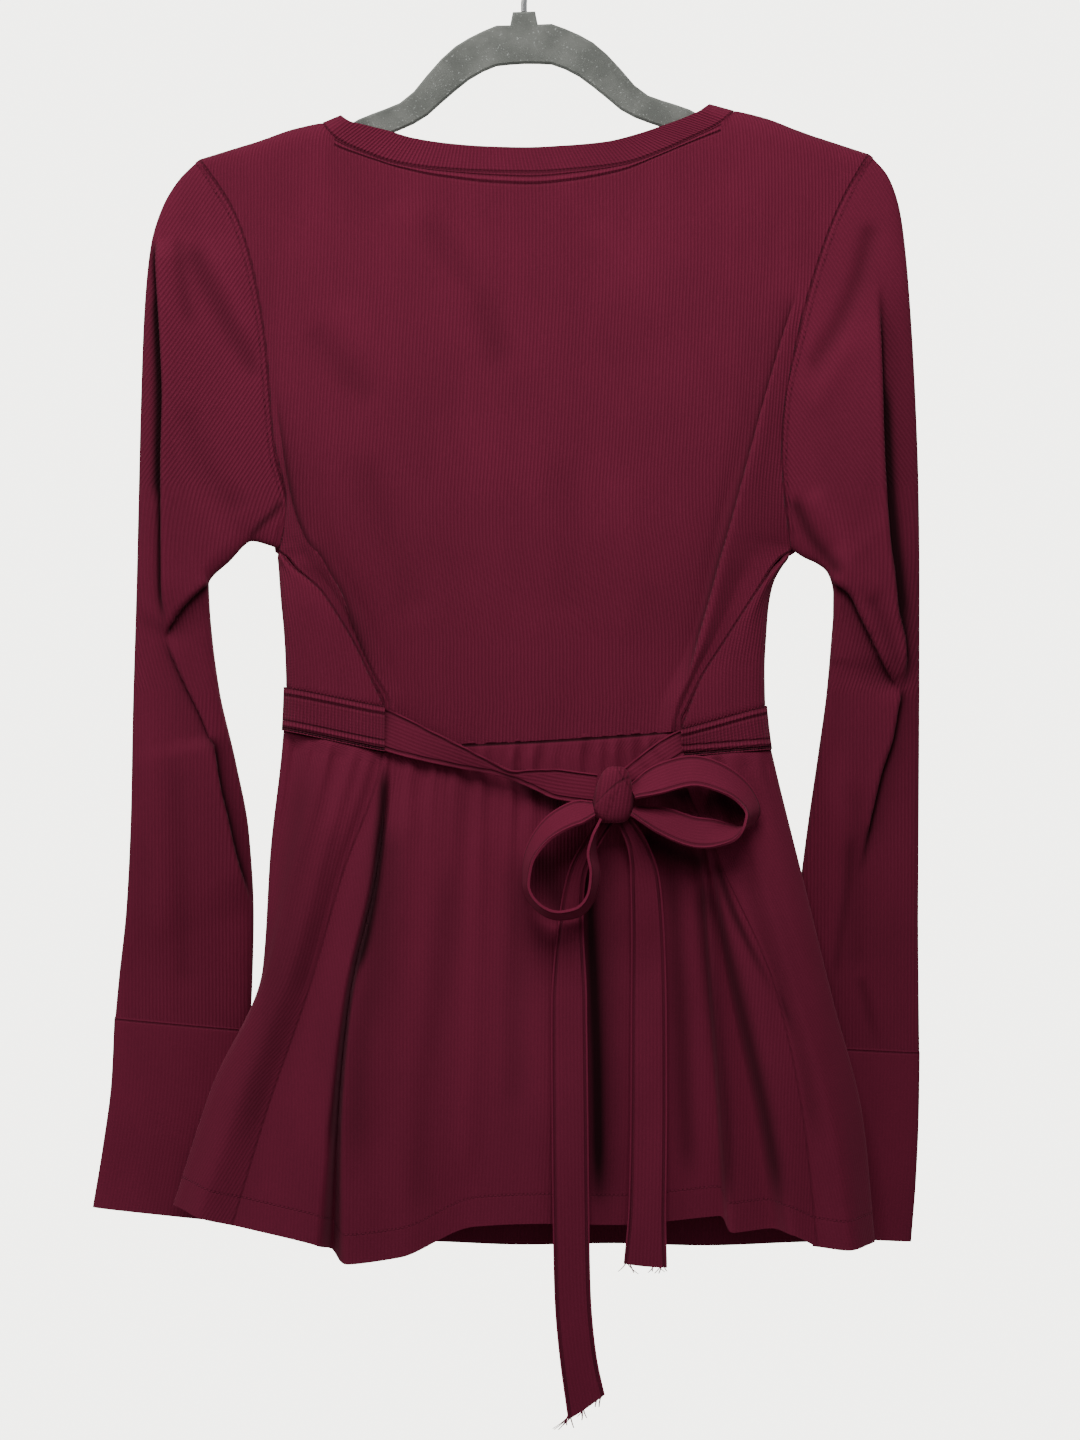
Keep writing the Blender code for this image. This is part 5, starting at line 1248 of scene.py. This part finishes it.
# Kinds of lines on the cloth: half width, how much darker they are (a seam's own dark line,
# or painted shade beside a ridge and under an edge), how much lighter (a painted highlight
# on ridges and rims, stitches a little lighter), depth and strength of their relief
LINE_KINDS = {
    "seam": (0.9, 0.36, 0, 0.432, 1), "faint": (0.9, 0.12, 0, 0.144, 1), "deep": (1.5, 0.8, 0, 0.96, 1),
    "ridge": (1.4, 0.24, 0.12, 0.8, 0.8), "piped": (0.9, 0.34, 0.22, 0.6, 1),
    "sewn": (0.9, 0.34, 0.17, 0.5, 0.7), "fine": (0.9, 0.2, 0.1, 0.5, 0.7),
}

# Lines of each look: map, its part, distance from its start, kind, x from and to
NECK_RIDGE = ("cloth", 1, 4.4, "ridge", -110.0, 114.0)
body_look = knit("rib_knit_body", 0.2, 0.4, (
    NECK_RIDGE, ("cloth", 1, 0.0, "seam", -110.0, 114.0), ("edge", 0, 0.0, "seam")))
front_look = knit("rib_knit_front", 0.2, 0.4, (NECK_RIDGE, ("edge", 0, 0.0, "seam")))
band_look = knit("rib_knit_band", 0.34, 0.6, (
    ("cloth", 1, 2.8, "ridge"), ("edge", 1, 1.3, "piped"), ("edge", 1, 3.8, "ridge")))
neck_look = knit("rib_knit_neck", 0.26, 0.4, (("cloth", 1, 0.2, "seam"),))
# The skirt's deep line is painted shade where it goes under the bodice's lower edge
skirt_look = knit("rib_knit_skirt", 0.07, 0.12, (
    ("edge", 1, HEM, "fine"), ("edge", 0, 0.0, "faint"), ("cloth", 1, -0.9, "deep")))
sleeve_look = knit("rib_knit_sleeve", 0.13, 0.3, (("cloth", 1, 0.0, "seam"), ("cloth", 1, 3.0, "sewn")))
cuff_look = knit("rib_knit_cuff", 0.05, 0.1, (("cloth", 1, 0.4, "seam"),))
tie_look = knit("rib_knit_tie", 0.08, 0.12, (("edge", 0, 1.9, "piped"),))
tie_look.node_tree.nodes["Principled BSDF"].inputs["Sheen Weight"].default_value = 0.06
knot_look = knit("rib_knit_knot", 0.2, 0.25)

# Bodice
back_rows = back_grid()
front_rows = front_grid()
back = softened(refined(back_rows, *BODY_FINER), 4)
heights = back[:, :1, 2] - ARMHOLE_LEFT[-1][1]
reach = np.clip(heights[:, 0] / 12.0, 0.06, 1.0)[:, None]
back = tucked(back, ("left", "right"), TUCK * reach, 1.1 * reach, -1)
painted_shade = relief(back, BACK_FOLDS_AND_SHADE, near_edges(back, BORDER_LINES))
back, painted_shade = capped(back, -1), np.concatenate([painted_shade[:1], painted_shade])
bodice_back = wall("bodice_back", back, KNIT, body_look, "back_bodice", painted_shade=painted_shade, tucks=(1, 0, 1))
front = softened(refined(front_rows, *FRONT_FINER), 4)
front = tucked(front, ("left", "right", "bottom"), TUCK, 1.1, 1)
front[..., 1] *= -1
painted_shade = relief(front, FRONT_FOLDS_AND_SHADE, near_edges(front, BORDER_LINES))
front[..., 1] *= -1
front, painted_shade = capped(front, 1), np.concatenate([painted_shade[:1], painted_shade])
bodice_front = wall("bodice_front", front, KNIT, front_look, "front_bodice", painted_shade=painted_shade, tucks=(1, 1, 1))

# Neckband and waistband
neck = refined(neckband_grid(back_rows[0], front_rows[0]), *NECK_FINER, True)
round_neck = lengths(neck, True)[0][len(neck) // 2, :-1]
neck_band = wall("neck_band", neck, BAND, neck_look, "neckband", True, np.tile(round_neck, (len(neck), 1)))
band = softened(refined(waistband_grid(), *BAND_FINER), 2)
for end, way in ((0, 1.0), (-1, -1.0)):
    from_end = np.abs(band[..., 0] - band[:, end, 0][:, None])
    close = np.exp(-from_end / 4.0) * (band[..., 1] < ON_BACK)
    band[..., 1] -= 2.7 * close
    band[..., 0] += 1.7 * way * close
ribs = np.tile(lengths(band)[0][len(band) // 2], (len(band), 1))
waist_band = wall("waist_band", band, BAND, band_look, "waistband", ribs=ribs)

# Skirt
levels = np.concatenate([np.linspace(0, 0.16, 24), np.linspace(0.17, 1.0, 70)])
for name, node, table, outward, folds in (
        ("skirt_back", "back_skirt", BACK_SKIRT, -1, SKIRT_FOLDS_AND_SHADE),
        ("skirt_front", "front_skirt", FRONT_SKIRT, 1, SIDE_FOLDS_AND_SHADE)):
    skirt = skirt_grid(table, outward, SKIRT_FINER, levels)
    skirt = tucked(skirt, ("top",), TUCK + 1.0, 1.4, outward)
    if outward > 0:
        skirt = tucked(skirt, ("left", "right"), TUCK, 1.2, outward)
    on_back = np.where(skirt[..., 1] < 0.0, 1.0, 0.0)
    painted_shade = relief(skirt, folds, near_edges(skirt, 6) * on_back)
    wall(name, skirt, KNIT, skirt_look, node, painted_shade=painted_shade, tucks=(1, 0, int(outward > 0)))

# Sleeves and cuffs
for side, table, folds, node, cuff_table in (
        (-1, LEFT_SLEEVE, LEFT_SLEEVE_FOLDS_AND_SHADE, "sleeve_left", LEFT_CUFF),
        (1, RIGHT_SLEEVE, RIGHT_SLEEVE_FOLDS_AND_SHADE, "sleeve_right", RIGHT_CUFF)):
    grid, facing = tube_grid(table, *SLEEVE_POINTS, side)
    turn = np.clip((grid[..., 2] - SLANT_START) / SLANT_REACH, 0, 1)
    angle = math.radians(90) - turn * math.radians(SLANT)
    ribs = grid[..., 0] * np.sin(angle) + side * (grid[..., 2] + 400.0) * np.cos(angle)
    toward = np.clip(facing * 1.5, 0, 1) - 0.3 * np.clip(-facing, 0, 1)
    painted_shade = relief(grid, folds, toward * near_edges(grid, BORDER_LINES, sides=False))
    wall(node.replace("sleeve", "arm"), grid, KNIT, sleeve_look, node, True, ribs, painted_shade)
    cuff, _ = tube_grid(cuff_table, *CUFF_POINTS)
    cuff = tucked(cuff, ("top",), TUCK, 0.9, side, True)
    wall("wrist_" + node[7:], cuff, BAND, cuff_look, "cuff" + node[6:], True,
                        tucks=(1, 0))

# Ties and bow
STRAP_STARTS = {
    "strap_left": (-81.6, -502.6, -478.4, -14.6), "strap_right": (92.0, -491.0, -505.6, -14.6)}
LOOP_RIGHT_LEAN = (1.3, 1.8, 1.7, 1.2, 0.8, 0.5, 0.2, -0.9, -1.7, -1.7, -1.2)
LOOP_LEFT_LEAN = (1.1, 1.0, 0.75, 0.45, 0.25, 0.18, 0.2, 0.26, 0.3, 0.3, 0.3, 0.25, 0.2, 0.2)
LOOP_RIGHT_OUT = (0.0, 3.0, 3.0, 1.6, 0.6, 0.3, 0.6, 2.4, 3.0, 2.0, 0.0)
TAIL_CUTS = {"tail_long": (12.0, 20), "tail_short": (-1.5, 30)}
TAIL_LIFT, KNOT_LIFT = 3.5, 2.4
STRAP_WIDER = (0.0, 0.0, -1.0, -1.5, -2.0, 1.5, 5.5, 6.5)
# Folds of the knot: sharpness, depth, painted shade in the groove, and the line z = a + b x - c x x
KNOT_FOLDS_AND_SHADE = ((0.8, 0.11, 0.65, (5.5, 0.8, 0.03)), (0.8, 0.03, 0.35, (16.0, -1.4, 0.0)),
              (1.2, 0.0, 0.22, (-3.0, 2.6, 0.0)), (1.2, 0.0, 0.2, (4.0, 3.6, 0.05)))
# Loose threads: x, y, z where they start, the longest there, how many
THREAD_ENDS = (
    (27.2, -23.8, -887.5, 9.0, 6), (34.0, -23.8, -884.0, 6.0, 4), (43.0, -23.8, -878.0, 4.0, 3),
    (60.0, -19.4, -799.5, 6.0, 3), (76.0, -19.4, -801.5, 4.0, 3), (81.0, -19.4, -801.5, 4.0, 3),
)
for name, node, table in (
        ("strap_left", "tie_strap_left", STRAP_LEFT), ("strap_right", "tie_strap_right", STRAP_RIGHT),
        ("tail_long", "tie_tail_long", TAIL_LONG), ("tail_short", "tie_tail_short", TAIL_SHORT)):
    rows = np.array(table)
    extra = np.array(STRAP_WIDER) if name == "strap_left" else np.zeros(len(rows))
    rows[:, 2] += extra * 0.4
    if name in TAIL_CUTS:
        rows[0, 2] += TAIL_LIFT
    grid = pressed(ribbon_grid(rows[:, :3].tolist(), flat_across(table), (rows[:, 3] + extra).tolist(),
                               TIE_STEPS, TIE_COLUMNS))
    if name in STRAP_STARTS:
        grid = met(grid, *STRAP_STARTS[name])
    if name in TAIL_CUTS:
        grid = cut_end(grid, *TAIL_CUTS[name])
    # Painted shade where each tie comes out from under the band or the knot
    painted_shade = 0.7 * np.exp(-(np.arange(len(grid)) / 3.0) ** 2)[:, None] * np.ones(grid.shape[:2])
    wall(name, grid, TIE, tie_look, node, painted_shade=painted_shade)
for name, node, path, leans in (
        ("loop_right", "bow_loop_right", LOOP_RIGHT, LOOP_RIGHT_LEAN),
        ("loop_left", "bow_loop_left", LOOP_LEFT, LOOP_LEFT_LEAN)):
    widths = [LOOP_WIDTH * LOOP_ENDS] + [LOOP_WIDTH] * (len(path) - 2) + [LOOP_WIDTH * LOOP_ENDS]
    path = np.array(path)
    if name == "loop_left":
        path[-2:, 2] += (2.0, 5.0)
    else:
        path = path + away_from_middle(path) * np.array(LOOP_RIGHT_OUT)[:, None]
    grid = ribbon_grid(path.tolist(), leaning(path, leans), widths, TIE_STEPS, TIE_COLUMNS)
    wall(name, grid, TIE, tie_look, node)
knot_grid, painted_shade = wound_knot(*KNOT_POINTS)
knot_grid[..., 2] += KNOT_LIFT
knot = wall("knot", knot_grid, TIE, knot_look, "bow_knot", True,
            knot_grid[..., 0] - 0.14 * knot_grid[..., 2], painted_shade)
threads = loose_threads(tie_look)
place(threads, "rib_knit_burgundy")


def set_material(node, look):
    """Give a carried-over solid its finished material."""
    for slot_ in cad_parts[node].material_slots:
        slot_.material = look


set_material("hanger_body", velvet())
set_material("hanger_hook", steel())

# Camera and light
scene = bpy.context.scene
lens = bpy.data.cameras.new("camera")
CAMERA_AWAY, FRAME_HEIGHT, SENSOR = 3.0, 0.8352, 24.0
lens.sensor_fit = "VERTICAL"
lens.sensor_height = SENSOR
lens.lens = SENSOR * CAMERA_AWAY / FRAME_HEIGHT
lens.clip_end = 50.0
camera = bpy.data.objects.new("camera", lens)
camera.location = (0.00928, -CAMERA_AWAY, -0.4856)
camera.rotation_euler = (math.radians(90), 0, 0)
scene.collection.objects.link(camera)
scene.camera = camera


def area_light(name, spot, aim, size, power, colour):
    """Soft square light that points at a place."""
    lamp = bpy.data.lights.new(name, "AREA")
    lamp.size = size
    lamp.energy = power
    lamp.color = colour
    thing = bpy.data.objects.new(name, lamp)
    thing.location = spot
    direction = np.array(aim) - np.array(spot)
    flat = math.hypot(direction[0], direction[1])
    thing.rotation_euler = (math.atan2(flat, -direction[2]), 0,
                            math.atan2(direction[1], direction[0]) - math.pi / 2)
    thing.visible_camera = False
    scene.collection.objects.link(thing)


area_light("key", (0.05, -0.95, 0.55), (0, 0, -0.18), 0.7, 16.0, (1.0, 0.97, 0.94))
area_light("side", (-1.5, -0.6, 0.25), (-0.1, 0, -0.28), 0.8, 11.0, (1.0, 0.98, 0.96))
area_light("fill", (1.8, -2.0, 0.3), (0, 0, -0.4), 2.0, 2.6, (0.95, 0.97, 1.0))
area_light("rear", (0.8, 2.2, 0.8), (0, 0, -0.45), 1.6, 34.0, (1.0, 0.98, 0.96))
world = bpy.data.worlds.new("pale")
world.use_nodes = True
tree = world.node_tree
plain = tree.nodes["Background"]
plain.inputs[0].default_value = (1.0, 0.99, 0.97, 1.0)
plain.inputs[1].default_value = 0.2
seen = tree.nodes.new("ShaderNodeBackground")
seen.inputs[0].default_value = (1.0, 0.99, 0.93, 1.0)
seen.inputs[1].default_value = 4.8
either = tree.nodes.new("ShaderNodeMixShader")
tree.links.new(tree.nodes.new("ShaderNodeLightPath").outputs["Is Camera Ray"], either.inputs[0])
tree.links.new(plain.outputs[0], either.inputs[1])
tree.links.new(seen.outputs[0], either.inputs[2])
tree.links.new(either.outputs[0], tree.nodes["World Output"].inputs["Surface"])
scene.world = world

floor_mesh = bpy.data.meshes.new("floor")
reach, low = 6.0, -2.4
floor_mesh.from_pydata([(-reach, -reach, low), (reach, -reach, low), (reach, reach, low),
                        (-reach, reach, low)], [], [(0, 1, 2, 3)])
floor = bpy.data.objects.new("floor", floor_mesh)
scene.collection.objects.link(floor)
floor_look = Nodes("pale_floor", (0.85, 0.85, 0.82, 1.0), 0.9)
floor_mesh.materials.append(floor_look.material)
